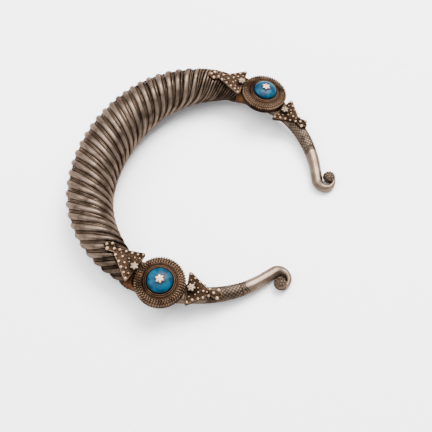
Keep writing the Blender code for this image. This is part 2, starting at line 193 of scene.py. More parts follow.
class Bench:
    """Workbench that lays out the nodes of one material."""

    def __init__(self, name: str) -> None:
        """Start a material with one Principled shader."""
        self.material = bpy.data.materials.new(name)
        self.material.use_nodes = True
        self.nodes = self.material.node_tree.nodes
        self.links = self.material.node_tree.links
        self.shader = self.nodes["Principled BSDF"]

    def add(self, kind: str, settings: dict, inputs: dict, output: Union[int, str] = 0) -> Signal:
        """Add a node, with its settings first.

        Args:
            kind: Type of the node.
            settings: Properties of the node.
            inputs: Values or signals for its sockets, by name or number.
            output: Socket that the result is taken from.

        Returns:
            The node's output.
        """
        node = self.nodes.new(kind)
        for name, value in settings.items():
            setattr(node, name, value)
        for key, value in inputs.items():
            self.feed(node, key, value)
        return Signal(self, node.outputs[output])

    def feed(self, node: bpy.types.Node, key: Union[int, str], value: Value) -> None:
        """Set one socket of a node to a value, or link a signal to it."""
        if isinstance(value, Signal):
            self.links.new(value.socket, node.inputs[key])
        elif isinstance(value, tuple) and node.inputs[key].type == "RGBA":
            node.inputs[key].default_value = (*value[:3], 1.0)
        else:
            node.inputs[key].default_value = value

    def noise(self, scale: float, detail: float, stretch: tuple = (1.0, 1.0, 1.0)) -> Signal:
        """Noise over the piece.

        Args:
            scale: Features to the metre.
            detail: Octaves of the noise.
            stretch: Scale along each axis.

        Returns:
            A value around a half.
        """
        place = self.add("ShaderNodeTexCoord", {}, {}, "Object")
        place = self.add("ShaderNodeMapping", {}, {"Vector": place, "Scale": stretch})
        return self.add("ShaderNodeTexNoise", {}, {"Vector": place, "Scale": scale, "Detail": detail})

    def hollows(self, reach: float) -> Signal:
        """Mask of the hollows of the form, for the tarnish and painted shade in them.

        Args:
            reach: How near a neighbouring surface has to be.

        Returns:
            One deep in a hollow, nought in the open.
        """
        settings = {"samples": 6}
        return 1 - self.add("ShaderNodeAmbientOcclusion", settings, {"Distance": reach}, "AO")

    def painted(self, name: str) -> Signal:
        """Value that is painted on the mesh as an attribute."""
        return self.add("ShaderNodeAttribute", {"attribute_name": name}, {}, "Fac")

    def mixed(self, share: Value, first: Value, second: Value) -> Signal:
        """Mix of two colours.

        Args:
            share: How much of the second colour.
            first: First colour.
            second: Second colour.

        Returns:
            The mixed colour.
        """
        return self.add("ShaderNodeMix", {"data_type": "RGBA"}, {0: share, 6: first, 7: second}, 2)

    def finish(self, inputs: dict) -> bpy.types.Material:
        """Feed the Principled shader.

        Args:
            inputs: Values or signals for its sockets.

        Returns:
            The finished material.
        """
        for key, value in inputs.items():
            self.feed(self.shader, key, value)
        return self.material


@dataclass(frozen=True)
class MetalFinish:
    """Old metal: rubbed bright where it stands proud, and dark in its hollows with tarnish and painted shade.
    """

    name: str
    bright: Colour
    dull: Colour
    # Dark colour of tarnish, also used as painted shade in the hollows.
    tarnish: Colour
    metallic: float = 0.6
    polish: float = 0.27
    dullness: float = 0.62
    hollow_reach: float = 0.0011
    # How strongly the hollows darken: tarnish and painted shade.
    hollow_tarnish_and_shade: float = 1.5
    spread_tarnish: float = 0.5
    dent: float = 0.00006
    broad_scale: float = 140.0
    fine_scale: float = 950.0
    scratch_scale: float = 420.0
    rubbed_free: float = 0.12
    specular: float = 0.1
    specular_tint: Colour = (0.45, 0.36, 0.30)

    def make(self) -> bpy.types.Material:
        """Build the material."""
        bench = Bench(self.name)
        broad = bench.noise(self.broad_scale, 3.0)
        fine = bench.noise(self.fine_scale, 3.0)
        scratches = bench.noise(self.scratch_scale, 2.0, (1.0, 4.0, 1.0))
        # Painted darkening from the mesh: grime, painted shade, and darker wire ends.
        grime_and_shade = bench.painted("grime_and_shade")
        stain = self.spread_tarnish * (broad.eased(0.42, 0.72) + 0.5 * fine.eased(0.45, 0.75))
        # Ambient occlusion darkens the hollows: partly tarnish, partly painted shade.
        hollow = self.hollow_tarnish_and_shade * bench.hollows(self.hollow_reach)
        cover = (hollow + stain + grime_and_shade - self.rubbed_free).held()
        metal = bench.mixed(broad.eased(0.3, 0.7), self.bright, self.dull)
        colour = bench.mixed(cover, metal, self.tarnish)
        roughness = self.polish + (self.dullness - self.polish) * cover + 0.12 * scratches
        height = 0.6 * fine + 0.4 * scratches
        relief = bench.add("ShaderNodeBump", {}, {"Strength": 0.35, "Distance": self.dent, "Height": height})
        return bench.finish({
            "Specular IOR Level": self.specular,
            "Specular Tint": self.specular_tint,
            "Base Color": colour,
            "Metallic": self.metallic + 0.2 * cover,
            "Roughness": roughness,
            "Normal": relief,
        })


@dataclass(frozen=True)
class GlassFinish:
    """Opaque turquoise glass, with painted shade toward its rim and round the foot of the flower, and a
    polished skin.
    """

    name: str
    bright: Colour
    deep: Colour
    rim: Colour
    roughness: float = 0.34

    def make(self) -> bpy.types.Material:
        """Build the material."""
        bench = Bench(self.name)
        cloud = bench.noise(230.0, 4.0).eased(0.35, 0.68)
        speck = bench.noise(1400.0, 2.0)
        body = bench.mixed(cloud, self.deep, self.bright)
        # Painted shade: darker at the rim and round the foot of the flower, from the painted attribute.
        colour = bench.mixed(bench.painted("grime_and_shade").held(), body, self.rim)
        relief = bench.add("ShaderNodeBump", {}, {"Strength": 0.12, "Distance": 0.00005, "Height": speck})
        return bench.finish({
            "Coat Roughness": 0.06,
            "Specular IOR Level": 0.07,
            "Base Color": colour,
            "Roughness": self.roughness + 0.1 * speck,
            "Coat Weight": 0.03,
            "Normal": relief,
        })


@dataclass(frozen=True)
class FloorFinish:
    """Plain pale table."""

    name: str
    colour: Colour

    def make(self) -> bpy.types.Material:
        """Build the material."""
        bench = Bench(self.name)
        return bench.finish({"Base Color": self.colour, "Roughness": 0.9, "Specular IOR Level": 0.1})


class Finishes:
    """All finishes of the necklace."""

    def __init__(self) -> None:
        """Make each material once."""
        self.silver = MetalFinish("rubbed_silver", (0.118, 0.085, 0.063), (0.076, 0.053, 0.039),
                                  (0.004, 0.0023, 0.0014), polish=0.28, hollow_reach=0.0014,
                                  hollow_tarnish_and_shade=3.0).make()
        self.rod = MetalFinish("pale_silver", (0.150, 0.109, 0.080), (0.098, 0.069, 0.050),
                               (0.010, 0.0065, 0.004), polish=0.28, spread_tarnish=0.22).make()
        # Darker than the thick wire: tarnish, and painted shade where the thin wires lie deep between the thick
        # ones.
        self.thin_wire = MetalFinish("dark_wire", (0.092, 0.062, 0.042), (0.055, 0.036, 0.024),
                                     (0.003, 0.0018, 0.001), spread_tarnish=0.4,
                                     hollow_reach=0.0007, hollow_tarnish_and_shade=2.4).make()
        # Near black: painted shade in the gaps between the wound wires, on the tube under them.
        self.shaded_core = MetalFinish("painted_shade_core", (0.003, 0.002, 0.0013), (0.002, 0.0013, 0.0008),
                                  (0.001, 0.0007, 0.0004), dullness=0.8).make()
        self.plate = MetalFinish("brown_wire_work", (0.072, 0.044, 0.026), (0.036, 0.0205, 0.0115),
                                 (0.003, 0.0016, 0.001), polish=0.34, hollow_reach=0.0006).make()
        self.sheet = MetalFinish("brown_sheet", (0.017, 0.0095, 0.0052), (0.009, 0.005, 0.0026),
                                 (0.003, 0.0016, 0.001), polish=0.4, hollow_reach=0.0008).make()
        self.gilt = MetalFinish("worn_gilt_brown", (0.040, 0.0222, 0.0125), (0.020, 0.0100, 0.0052),
                                (0.003, 0.0016, 0.001), polish=0.33, hollow_reach=0.0007,
                                hollow_tarnish_and_shade=2.1).make()
        self.tick = MetalFinish("rubbed_gilt_wire", (0.125, 0.080, 0.051), (0.054, 0.031, 0.018),
                                (0.004, 0.0022, 0.0013), polish=0.30, hollow_reach=0.0005,
                                hollow_tarnish_and_shade=1.7).make()
        self.copper = MetalFinish("worn_copper", (0.080, 0.033, 0.013), (0.042, 0.0175, 0.007),
                                  (0.007, 0.0033, 0.0016), polish=0.36).make()
        # Far brighter than the other silver: rubbed granules and flower, with a painted highlight in the
        # colour.
        self.granule = MetalFinish("bright_granule", (0.46, 0.310, 0.212), (0.27, 0.175, 0.115),
                                   (0.020, 0.011, 0.006), polish=0.30, hollow_reach=0.0007,
                                   hollow_tarnish_and_shade=1.6, spread_tarnish=0.25).make()
        self.petal = MetalFinish("rosette_silver", (0.215, 0.152, 0.107), (0.125, 0.086, 0.060),
                                 (0.012, 0.007, 0.004), polish=0.32, hollow_reach=0.0007,
                                 hollow_tarnish_and_shade=1.9, spread_tarnish=0.4).make()
        # The last colour is the painted shade at the rim of the stone.
        self.glass = GlassFinish("turquoise_glass", (0.0002, 0.044, 0.079), (0.0001, 0.015, 0.034),
                                 (0.0003, 0.006, 0.010)).make()
        self.floor = FloorFinish("pale_table", (0.93, 0.93, 0.93)).make()


# ---------------------------------------------------------------- the ring's own plane


@dataclass(frozen=True)
class Ring:
    """Centre line of the necklace, the taper of its wound part, and how it lies on the table."""

    back_arc: tuple[float, float] = (0.1080, radians(22.1))
    side_arc: tuple[float, float] = (0.0631, radians(16.8))
    front_arc: tuple[float, float] = (0.0748, pi)
    coil_turn: float = radians(73.5)
    collar_turn: float = radians(86.0)
    boss_turn: float = radians(95.8)
    rod_turn: float = radians(149.0)
    arch_rise: float = 0.0040
    coil_back_radius: float = 0.0179
    coil_end_radius: float = 0.0100
    coil_taper: float = 0.75
    rod_straight: float = 0.0105
    curl_radius: float = 0.0058
    curl_turn: float = radians(185.0)
    strip_width: float = 0.0030
    strip_height: float = 0.0064

    def run_to(self, turn: float) -> Iterator[tuple[float, float, float]]:
        """Radius, first turn and turn run through of each arc, from the middle of the back to this turn."""
        done = 0.0
        for radius, arc_turn in (self.back_arc, self.side_arc, self.front_arc):
            step = min(max(abs(turn) - done, 0.0), arc_turn)
            yield radius, done, step
            done += step

    def centre_line(self, turn: float) -> Vector:
        """Point of the flat centre line where it has turned by this angle from the middle of the back."""
        x = 0.0
        y = 0.0
        for radius, done, step in self.run_to(turn):
            x += radius * (sin(done + step) - sin(done))
            y += radius * (cos(done + step) - cos(done))
        return Vector((copysign(x, turn), y, 0.0))

    def length_at(self, turn: float) -> float:
        """Length along the centre line from the middle of the back to this turn."""
        length = 0.0
        for radius, _, step in self.run_to(turn):
            length += radius * step
        return copysign(length, turn)

    def turn_at(self, length: float) -> float:
        """Angle that the centre line has turned after this length from the middle of the back."""
        left = abs(length)
        turn = 0.0
        for radius, arc_turn in (self.back_arc, self.side_arc, self.front_arc):
            step = min(left, radius * arc_turn)
            turn += step / radius
            left -= step
        return copysign(turn, length)

    @staticmethod
    def forward(turn: float) -> Vector:
        """Direction along the ring, away from the left end."""
        return Vector((cos(turn), -sin(turn), 0.0))

    @staticmethod
    def outward(turn: float) -> Vector:
        """Direction square to the ring, away from the neck."""
        return Vector((sin(turn), cos(turn), 0.0))

    def coil_reach(self) -> float:
        """Length of the wound part on one side of the middle of the back."""
        return self.length_at(self.coil_turn)

    def coil_radius(self, length: float) -> float:
        """Radius over the crowns of the wire, at a length from the middle of the back."""
        share = min(abs(length) / self.coil_reach(), 1.0)
        swell = cos(share * pi / 2) ** self.coil_taper
        return self.coil_end_radius + (self.coil_back_radius - self.coil_end_radius) * swell

    def rod_end(self) -> Vector:
        """Point where the straight stretch of a rod ends and its curl starts."""
        return self.centre_line(self.rod_turn) + self.forward(self.rod_turn) * self.rod_straight

    def curl_centre(self) -> Vector:
        """Centre of the curl."""
        return self.rod_end() + self.outward(self.rod_turn) * self.curl_radius

    def hook_reach(self) -> float:
        """Distance from the middle of the back to the front of the hooks."""
        return self.curl_radius - self.curl_centre().y

    def raised(self, point: Vector) -> Vector:
        """Point of the flat centre line, lifted by the arch of the sides."""
        share = -point.y / self.hook_reach()
        return point + UP * 4 * self.arch_rise * share * (1 - share)

    def lay(self) -> Matrix:
        """Transform that lays the necklace on the table, centred in its box."""
        depth = self.coil_back_radius - 0.0004
        tilt = asin((depth - self.strip_height / 2) / self.hook_reach())
        front = (self.curl_centre().y - self.curl_radius - self.strip_width / 2) * cos(tilt)
        front -= self.strip_height / 2 * sin(tilt)
        middle = (self.coil_back_radius + front) / 2
        return Matrix.Translation((0.0, -middle, depth - 0.0003)) @ Matrix.Rotation(tilt, 4, "X")


RING = Ring()


# ---------------------------------------------------------------- making of forms


class Form:
    """Mesh under work, in the ring's own plane."""

    def __init__(self) -> None:
        """Start with an empty mesh and a layer for painted grime and painted shade."""
        self.bm = bmesh.new()
        self.grime_and_shade = self.bm.verts.layers.float.new("grime_and_shade")

    def turned(self, profile: Sequence[tuple[float, float]], sides: int,
               place: Matrix = Matrix.Identity(4), slot: int = 0) -> None:
        """Turn a profile round Z.

        Args:
            profile: Radius and height of each point, from axis to axis or round a closed ring.
            sides: Steps of the turn.
            place: Where the turned form goes.
            slot: Number of its material.
        """
        verts = [self.bm.verts.new((radius, 0.0, height)) for radius, height in profile]
        edges = [self.bm.edges.new(pair) for pair in zip(verts, verts[1:])]
        before = set(self.bm.faces)
        bmesh.ops.spin(self.bm, geom=verts + edges, cent=(0, 0, 0), axis=(0, 0, 1), angle=2 * pi,
                       steps=sides, use_merge=True)
        faces = [face for face in self.bm.faces if face not in before]
        fresh = list({vert for face in faces for vert in face.verts})
        bmesh.ops.remove_doubles(self.bm, verts=fresh, dist=1e-7)
        faces = [face for face in self.bm.faces if face not in before]
        fresh = list({vert for face in faces for vert in face.verts})
        bmesh.ops.transform(self.bm, matrix=place, verts=fresh)
        for face in faces:
            face.material_index = slot

    def swept(self, sections: Sequence[Section], slot: int = 0,
              marks: Union[Sequence[Sequence[float]], None] = None) -> None:
        """Extrude a ring of edges from section to section and close both ends.

        Args:
            sections: Rings of points, equally many in each.
            slot: Number of the material.
            marks: Grime of each point of each section.
        """
        count = len(sections[0])
        start = bmesh.ops.create_circle(self.bm, segments=count, radius=1.0, cap_ends=False)["verts"]
        order = {vert: index for index, vert in enumerate(start)}
        for vert, index in order.items():
            vert.co = sections[0][index]
            vert[self.grime_and_shade] = marks[0][index] if marks else 0.0
        edges = [edge for edge in self.bm.edges if all(vert in order for vert in edge.verts)]
        rings = [list(edges)]
        for number, section in enumerate(sections[1:], start=1):
            made = bmesh.ops.extrude_edge_only(self.bm, edges=edges)["geom"]
            fresh: dict[bmesh.types.BMVert, int] = {}
            for vert in (item for item in made if isinstance(item, bmesh.types.BMVert)):
                old = next(edge.other_vert(vert) for edge in vert.link_edges
                           if edge.other_vert(vert) in order)
                fresh[vert] = order[old]
                vert.co = section[order[old]]
                vert[self.grime_and_shade] = marks[number][order[old]] if marks else 0.0
            edges = [item for item in made if isinstance(item, bmesh.types.BMEdge)
                     and all(vert in fresh for vert in item.verts)]
            for face in (item for item in made if isinstance(item, bmesh.types.BMFace)):
                face.material_index = slot
            order = fresh
        rings.append(edges)
        for ring in rings:
            for face in bmesh.ops.contextual_create(self.bm, geom=ring)["faces"]:
                face.material_index = slot

    def ball(self, centre: Vector, radius: float, squash: float = 1.0, segments: int = 12,
             rings: int = 8, frame: Matrix = Matrix.Identity(4), slot: int = 0) -> None:
        """Add a ball.

        Args:
            centre: Its centre, in the frame.
            radius: Its radius.
            squash: Its height as a share of its width.
            segments: Faces round it.
            rings: Faces from pole to pole.
            frame: Frame that it is placed in.
            slot: Number of its material.
        """
        place = frame @ Matrix.Translation(centre) @ Matrix.Diagonal((1.0, 1.0, squash, 1.0))
        made = bmesh.ops.create_uvsphere(self.bm, u_segments=segments, v_segments=rings, radius=radius,
                                         matrix=place)
        self.assign(made["verts"], slot)

    def assign(self, verts: Iterable[bmesh.types.BMVert], slot: int) -> None:
        """Give the faces of these corners a material."""
        for vert in verts:
            for face in vert.link_faces:
                face.material_index = slot

    def slab(self, outline: Sequence[tuple[float, float]], levels: Sequence[tuple[float, float]],
             frame: Matrix, slot: int = 0) -> None:
        """Sheet of metal with a shaped edge.

        Args:
            outline: Points round the sheet.
            levels: Inset and height of each line round its edge, from below to above.
            frame: Frame that it lies in.
            slot: Number of its material.
        """
        loops = [[frame @ Vector((x, y, height)) for x, y in inset_outline(outline, inset)]
                 for inset, height in levels]
        self.swept(loops, slot)

    def drawn(self, paths: Sequence[WirePath], slot: int = 0) -> None:
        """Add wires that follow paths.

        Args:
            paths: The wires.
            slot: Number of their material.
        """
        for path in paths:
            mesh = path.mesh()
            before = len(self.bm.faces)
            self.bm.from_mesh(mesh)
            bpy.data.meshes.remove(mesh)
            self.bm.faces.ensure_lookup_table()
            for face in self.bm.faces[before:]:
                face.material_index = slot

    def paint(self, rule: Callable[[Vector], float]) -> None:
        """Paint darkening on every corner by a rule on its place: grime, and painted shade inside the curls and
        on the stones.
        """
        for vert in self.bm.verts:
            vert[self.grime_and_shade] = max(vert[self.grime_and_shade], rule(vert.co))

    def placed(self, name: str, materials: Sequence[bpy.types.Material], nodes: Sequence[str],
               side: Side = Side.RIGHT) -> None:
        """Lay the form on the table as a finished piece.

        Args:
            name: Name of the piece.
            materials: Its materials, in the order of their numbers.
            nodes: CAD nodes that it stands for.
            side: End of the necklace that it belongs to.
        """
        matrix = RING.lay() @ Matrix.Diagonal((side.value, 1.0, 1.0, 1.0))
        bmesh.ops.transform(self.bm, matrix=matrix, verts=self.bm.verts)
        for vert in self.bm.verts:
            vert.co.z = max(vert.co.z, 0.0)
        bmesh.ops.recalc_face_normals(self.bm, faces=self.bm.faces)
        mesh = bpy.data.meshes.new(name)
        self.bm.to_mesh(mesh)
        self.bm.free()
        mesh.shade_smooth()
        mesh.set_sharp_from_angle(angle=radians(42.0))
        for material in materials:
            mesh.materials.append(material)
        piece = bpy.data.objects.new(name, mesh)
        bpy.context.scene.collection.objects.link(piece)
        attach(piece, ROOT)
        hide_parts(*nodes)
        LOG.info("%s: %d faces", name, len(mesh.polygons))


@dataclass
class WirePath:
    """Wire along a path: round, or a rope of two strands whose lobed section turns along it."""

    points: list[Vector]
    radii: list[float]
    sides: int = 12
    lay: float = 0.0
    turn_back: bool = False
    closed: bool = False
    waist: float = 0.52

    def section(self) -> bpy.types.Object:
        """Curve object of the section: a circle, or two lobes for a rope."""
        curve = bpy.data.curves.new("wire_section", "CURVE")
        curve.dimensions = "2D"
        spline = curve.splines.new("POLY")
        spline.points.add(self.sides - 1)
        spline.use_cyclic_u = True
        for index, point in enumerate(spline.points):
            angle = 2 * pi * index / self.sides
            reach = 1.0
            if self.lay:
                reach = self.waist + (1.0 - self.waist) * abs(cos(angle)) ** 0.8
            point.co = (reach * cos(angle), reach * sin(angle), 0.0, 1.0)
        return bpy.data.objects.new("wire_section", curve)

    def mesh(self) -> bpy.types.Mesh:
        """Mesh of the wire."""
        section = self.section()
        curve = bpy.data.curves.new("wire_path", "CURVE")
        curve.dimensions = "3D"
        curve.bevel_mode = "OBJECT"
        curve.bevel_object = section
        curve.use_fill_caps = not self.closed
        spline = curve.splines.new("POLY")
        spline.points.add(len(self.points) - 1)
        spline.use_cyclic_u = self.closed
        tilt = 0.0
        before = self.points[0]
        for point, place, radius in zip(spline.points, self.points, self.radii):
            if self.lay:
                tilt += copysign(2 * pi, -1 if self.turn_back else 1) * (place - before).length / self.lay
            point.co = (*place, 1.0)
            point.radius = radius
            point.tilt = tilt
            before = place
        carrier = bpy.data.objects.new("wire_path", curve)
        bpy.context.scene.collection.objects.link(section)
        bpy.context.scene.collection.objects.link(carrier)
        graph = bpy.context.evaluated_depsgraph_get()
        mesh = bpy.data.meshes.new_from_object(carrier.evaluated_get(graph), depsgraph=graph)
        for thing in (carrier, section):
            data = thing.data
            bpy.data.objects.remove(thing)
            bpy.data.curves.remove(data)
        return mesh


def circle_path(radius: float, wire: float, frame: Matrix, lays: int = 0, steps: int = 96,
                sides: int = 8, turn_back: bool = False) -> WirePath:
    """Wire or rope bent to a closed circle.

    Args:
        radius: Radius of the circle.
        wire: Radius of the wire.
        frame: Frame whose XY plane holds the circle.
        lays: Full turns of the rope in the circle, nought for plain wire.
        steps: Points round the circle, where the wire is plain.
        sides: Faces round the wire.
        turn_back: Whether the rope is laid the other way.

    Returns:
        The wire.
    """
    count = lays * 8 if lays else steps
    angles = [2 * pi * step / count for step in range(count)]
    points = [frame @ Vector((radius * cos(angle), radius * sin(angle), 0.0)) for angle in angles]
    chord = 2 * radius * sin(pi / count)
    lay = chord * count / lays if lays else 0.0
    return WirePath(points, [wire] * count, sides, lay, turn_back, closed=True)


def outline_path(outline: Sequence[tuple[float, float]], height: float, wire: float, frame: Matrix,
                 step: float, lay: float = 0.0, sides: int = 6) -> WirePath:
    """Wire soldered round an outline.

    Args:
        outline: Points round the sheet.
        height: Height of the wire's axis.
        wire: Radius of the wire.
        frame: Frame of the sheet.
        step: Longest distance between two points of the wire.
        lay: Length of a full turn of a rope, nought for plain wire.
        sides: Faces round the wire.

    Returns:
        The wire.
    """
    places = []
    for (x, y), (x_next, y_next) in zip(outline, list(outline[1:]) + [outline[0]]):
        parts = max(1, round(hypot(x_next - x, y_next - y) / step))
        places += [Vector((x + (x_next - x) * part / parts, y + (y_next - y) * part / parts, height))
                   for part in range(parts)]
    points = [frame @ place for place in places]
    return WirePath(points, [wire] * len(points), sides, lay, closed=True)


def inset_outline(outline: Sequence[tuple[float, float]], inset: float) -> list[tuple[float, float]]:
    """Outline drawn in toward its inside.

    Args:
        outline: Points round a sheet, clockwise or not.
        inset: Distance that each edge is drawn in.

    Returns:
        The moved points.
    """
    count = len(outline)
    area = sum(outline[i][0] * outline[(i + 1) % count][1] - outline[(i + 1) % count][0] * outline[i][1]
               for i in range(count))
    sign = copysign(1.0, area)
    moved = []
    for index in range(count):
        here = Vector(outline[index])
        before = (here - Vector(outline[index - 1])).normalized()
        after = (Vector(outline[(index + 1) % count]) - here).normalized()
        normals = [Vector((-way.y, way.x)) * sign for way in (before, after)]
        bisector = (normals[0] + normals[1]).normalized()
        stretch = inset / max(bisector.dot(normals[0]), 0.45)
        moved.append((here.x + bisector.x * stretch, here.y + bisector.y * stretch))
    return moved


def inside(outline: Sequence[tuple[float, float]], x: float, y: float) -> bool:
    """Whether a point lies inside an outline."""
    within = False
    for (x_one, y_one), (x_two, y_two) in zip(outline, list(outline[1:]) + [outline[0]]):
        if (y_one > y) != (y_two > y) and x < (x_two - x_one) * (y - y_one) / (y_two - y_one) + x_one:
            within = not within
    return within


# ---------------------------------------------------------------- boss and plate frames


@dataclass
class BossPlace:
    """Where the boss sits on the right-hand end."""

    radius: float = 0.0165
    foot: float = 0.0046
    inset: float = 0.0010
    lean: float = radians(4.5)
    plate_gap: float = 0.0006
    play: float = 0.0003

    def centre(self) -> Vector:
        """Middle of the underside of the boss."""
        flat = RING.centre_line(RING.boss_turn) - RING.outward(RING.boss_turn) * self.inset
        return RING.raised(flat) + UP * self.foot

    def frame(self) -> Matrix:
        """Frame of the boss, with Z up out of its stone."""
        return (Matrix.Translation(self.centre()) @ Matrix.Rotation(-RING.boss_turn, 4, "Z")
                @ Matrix.Rotation(-self.lean, 4, "X"))

    def distance(self) -> float:
        """Distance from the middle of the boss to the base of a plate."""
        return self.radius + self.plate_gap

    def hold_under(self, form: Form, plate: Plate) -> None:
        """Hold a form below the plate and the boss that lie over it.

        Args:
            form: Mesh under work.
            plate: Plate that lies over the form.
        """
        frame = self.frame()
        inverse = frame.inverted()
        for vert in form.bm.verts:
            vert.co = plate.presses(vert.co)
            local = inverse @ vert.co
            if local.z > -self.play and hypot(local.x, local.y) < self.distance():
                local.z = -self.play
                vert.co = frame @ local


BOSS_PLACE = BossPlace()


@dataclass
class Plate:
    """Three-cornered plate with wire borders, rings of fine wire, granules and a rosette."""

    place: Place
    turn: float
    thickness: float
    shift: float
    lean: float
    rosette_x: float
    granules: tuple[tuple[float, float, float], ...]
    width: float = 0.0222
    length: float = 0.0232
    corner: float = 0.0012
    tip_radius: float = 0.0026
    edge_wire: float = 0.00034
    inner_wire: float = 0.00030
    border: float = 0.0011
    cell: float = 0.0021
    cell_wire: float = 0.00022
    cell_room: float = 0.0006
    cup_wire: float = 0.00018
    rosette_rope: float = 0.00036
    rosette_radius: float = 0.0028
    rosette_height: float = 0.0024
    sleeve_radius: float = 0.0097
    bedding: float = 0.0011
    socket_foot: float = 0.0038
    rod_level: float = 0.0053
    play: float = 0.0002
    press_margin: float = 0.0004
    press_base: float = 0.0005
    press_reach: tuple[float, float] = (-0.004, 0.028)
    press_half: float = 0.014
    press_height: float = 0.02
    own_frame: Matrix = field(default_factory=Matrix, init=False)
    frame_inverse: Matrix = field(default_factory=Matrix, init=False)
    pressing_outline: list[tuple[float, float]] = field(default_factory=list, init=False)

    def frame(self) -> Matrix:
        """Frame of the plate: X from its base to its tip, Z up, its underside at height nought."""
        if self.place is Place.COIL:
            direction = -RING.forward(self.turn)
            foot = self.sleeve_radius - self.bedding
            tip_length = RING.length_at(RING.boss_turn) - BOSS_PLACE.distance() - self.length
            tip_foot = RING.coil_radius(tip_length) - self.bedding
        else:
            direction = RING.forward(self.turn)
            foot = self.socket_foot
            tip_foot = self.rod_level - self.thickness / 4
        base = BOSS_PLACE.centre() + direction * BOSS_PLACE.distance() + RING.outward(self.turn) * self.shift
        base.z = 0.0
        tip = RING.raised(base + direction * self.length) + UP * tip_foot
        base = RING.raised(base) + UP * foot
        slope = asin((tip.z - base.z) / self.length)
        turned = Matrix((direction, UP.cross(direction), UP)).transposed().to_4x4()
        return Matrix.Translation(base) @ turned @ Matrix.Rotation(-slope, 4, "Y")

    def leaning(self, x: float, y: float) -> tuple[float, float]:
        """Point of the plate, moved with the lean of its tip."""
        return (x, y + self.lean * x / self.length)

    def outline(self) -> list[tuple[float, float]]:
        """Outline from the base to the three lobes at the tip."""
        half = self.width / 2
        tip = self.tip_radius
        waist = self.length - 2.1 * tip
        one_half = [
            (0.0, half - self.corner),
            (self.corner * 0.35, half - self.corner * 0.3),
            (self.corner, half),
            (self.corner * 1.9, half - self.corner * 0.45),
            (waist, tip * 0.62),
            (self.length - tip * 1.25, tip * 0.95),
            (self.length - tip * 0.75, tip * 1.18),
            (self.length - tip * 0.1, tip * 1.02),
            (self.length + tip * 0.35, tip * 0.66),
            (self.length + tip * 0.85, tip * 0.45),
            (self.length + tip, tip * 0.12),
        ]
        outline = one_half + [(x, -y) for x, y in reversed(one_half)]
        return [self.leaning(x, y) for x, y in outline]

    def presses(self, point: Vector) -> Vector:
        """Point of a wire, held below the plate's underside where the plate lies over it.

        Args:
            point: Point in the ring's own plane, on the right-hand end.

        Returns:
            The point, or the point pressed down.
        """
        local = self.frame_inverse @ point
        first, last = self.press_reach
        near = first < local.x < last and abs(local.y) < self.press_half
        if near and self.play < local.z < self.press_height:
            if inside(self.pressing_outline, max(local.x, self.press_base), local.y):
                local.z = self.play
                return self.own_frame @ local
        return point

    def prepare(self) -> None:
        """Work out the frame once, for the many points that are pressed."""
        self.own_frame = self.frame()
        self.frame_inverse = self.own_frame.inverted()
        self.pressing_outline = inset_outline(self.outline(), -self.press_margin)

    def granule_places(self) -> list[tuple[float, float, float]]:
        """Place and radius of each granule."""
        return [(*self.leaning(x / 1000, y / 1000), radius / 1000) for x, y, radius in self.granules]

    def build_sheet(self, form: Form, frame: Matrix) -> None:
        """Sheet with a rounded upper edge, a plain wire round it and a rope inside that."""
        outline = self.outline()
        top = self.thickness
        levels = ((0.0, 0.0), (0.0, top - 0.0005), (0.00015, top - 0.0002), (0.0005, top - 0.0001))
        form.slab(outline, levels, frame, 2)
        edge = inset_outline(outline, self.edge_wire * 0.9)
        form.drawn([outline_path(edge, top - 0.00005, self.edge_wire, frame, 0.0012)])
        rope = inset_outline(outline, self.border)
        form.drawn([outline_path(rope, top, self.inner_wire, frame, 0.00028, 0.0022)])

    def build_cells(self, form: Form, frame: Matrix, granules: Sequence[tuple[float, float, float]]) -> None:
        """Small rings of wire that fill the ground between the granules."""
        field_outline = inset_outline(self.outline(), self.border + 0.0008)
        rosette = self.rosette_ring()
        rows = int(self.width / self.cell) + 1
        columns = int(self.length / self.cell * 1.2) + 1
        for column in range(columns):
            for row in range(-rows, rows + 1):
                x = self.cell * (0.6 + 0.87 * column)
                y = self.cell * (row + 0.5 * (column % 2))
                if not inside(field_outline, x, y):
                    continue
                if hypot(x - self.rosette_x, y) < rosette + self.cell_room:
                    continue
                if any(hypot(x - other, y - across) < radius + self.cell_room
                       for other, across, radius in granules):
                    continue
                place = frame @ Matrix.Translation((x, y, self.thickness - 0.00002))
                form.drawn([circle_path(self.cell * 0.34, self.cell_wire, place, steps=12, sides=5)])

    def rosette_ring(self) -> float:
        """Radius of the rope ring round the rosette."""
        return self.rosette_radius + 0.0008

    def build(self, side: Side, finishes: Finishes) -> None:
        """Build the plate and its rosette.

        Args:
            side: End of the necklace.
            finishes: Materials of the necklace.
        """
        frame = self.frame()
        granules = self.granule_places()
        form = Form()
        self.build_sheet(form, frame)
        self.build_cells(form, frame, granules)
        for x, y, radius in granules:
            cup = frame @ Matrix.Translation((x, y, self.thickness))
            form.drawn([circle_path(radius * 0.98, self.cup_wire, cup, steps=14, sides=5)])
            form.ball(Vector((x, y, self.thickness + radius * 0.28)), radius, 1.0, 12, 8, frame, 1)
        ring = frame @ Matrix.Translation((self.rosette_x, 0.0, self.thickness + 0.0002))
        form.drawn([circle_path(self.rosette_ring(), self.rosette_rope, ring, lays=11)])
        name = f"{self.place.value}_plate_{side.word}"
        materials = (finishes.plate, finishes.granule, finishes.sheet)
        form.placed(f"{name}_worked", materials, (name,), side)
        self.build_rosette(side, finishes, frame)

    def build_rosette(self, side: Side, finishes: Finishes, frame: Matrix) -> None:
        """Build the rosette: a cup that carries six petals round a heart."""
        centre = frame @ Matrix.Translation((self.rosette_x, 0.0, self.thickness + 0.0003))
        form = Form()
        radius = self.rosette_radius
        height = self.rosette_height
        profile = ((0.0, 0.0), (radius * 0.86, 0.0), (radius * 0.9, height * 0.2),
                   (radius * 0.8, height * 0.5), (radius * 0.45, height * 0.66), (0.0, height * 0.7))
        form.turned(profile, 36, centre)
        star(form, centre, radius, height * 0.58, height * 0.42)
        name = f"{self.place.value}_rosette_{side.word}"
        form.placed(f"{name}_worked", (finishes.silver, finishes.petal), (name,), side)


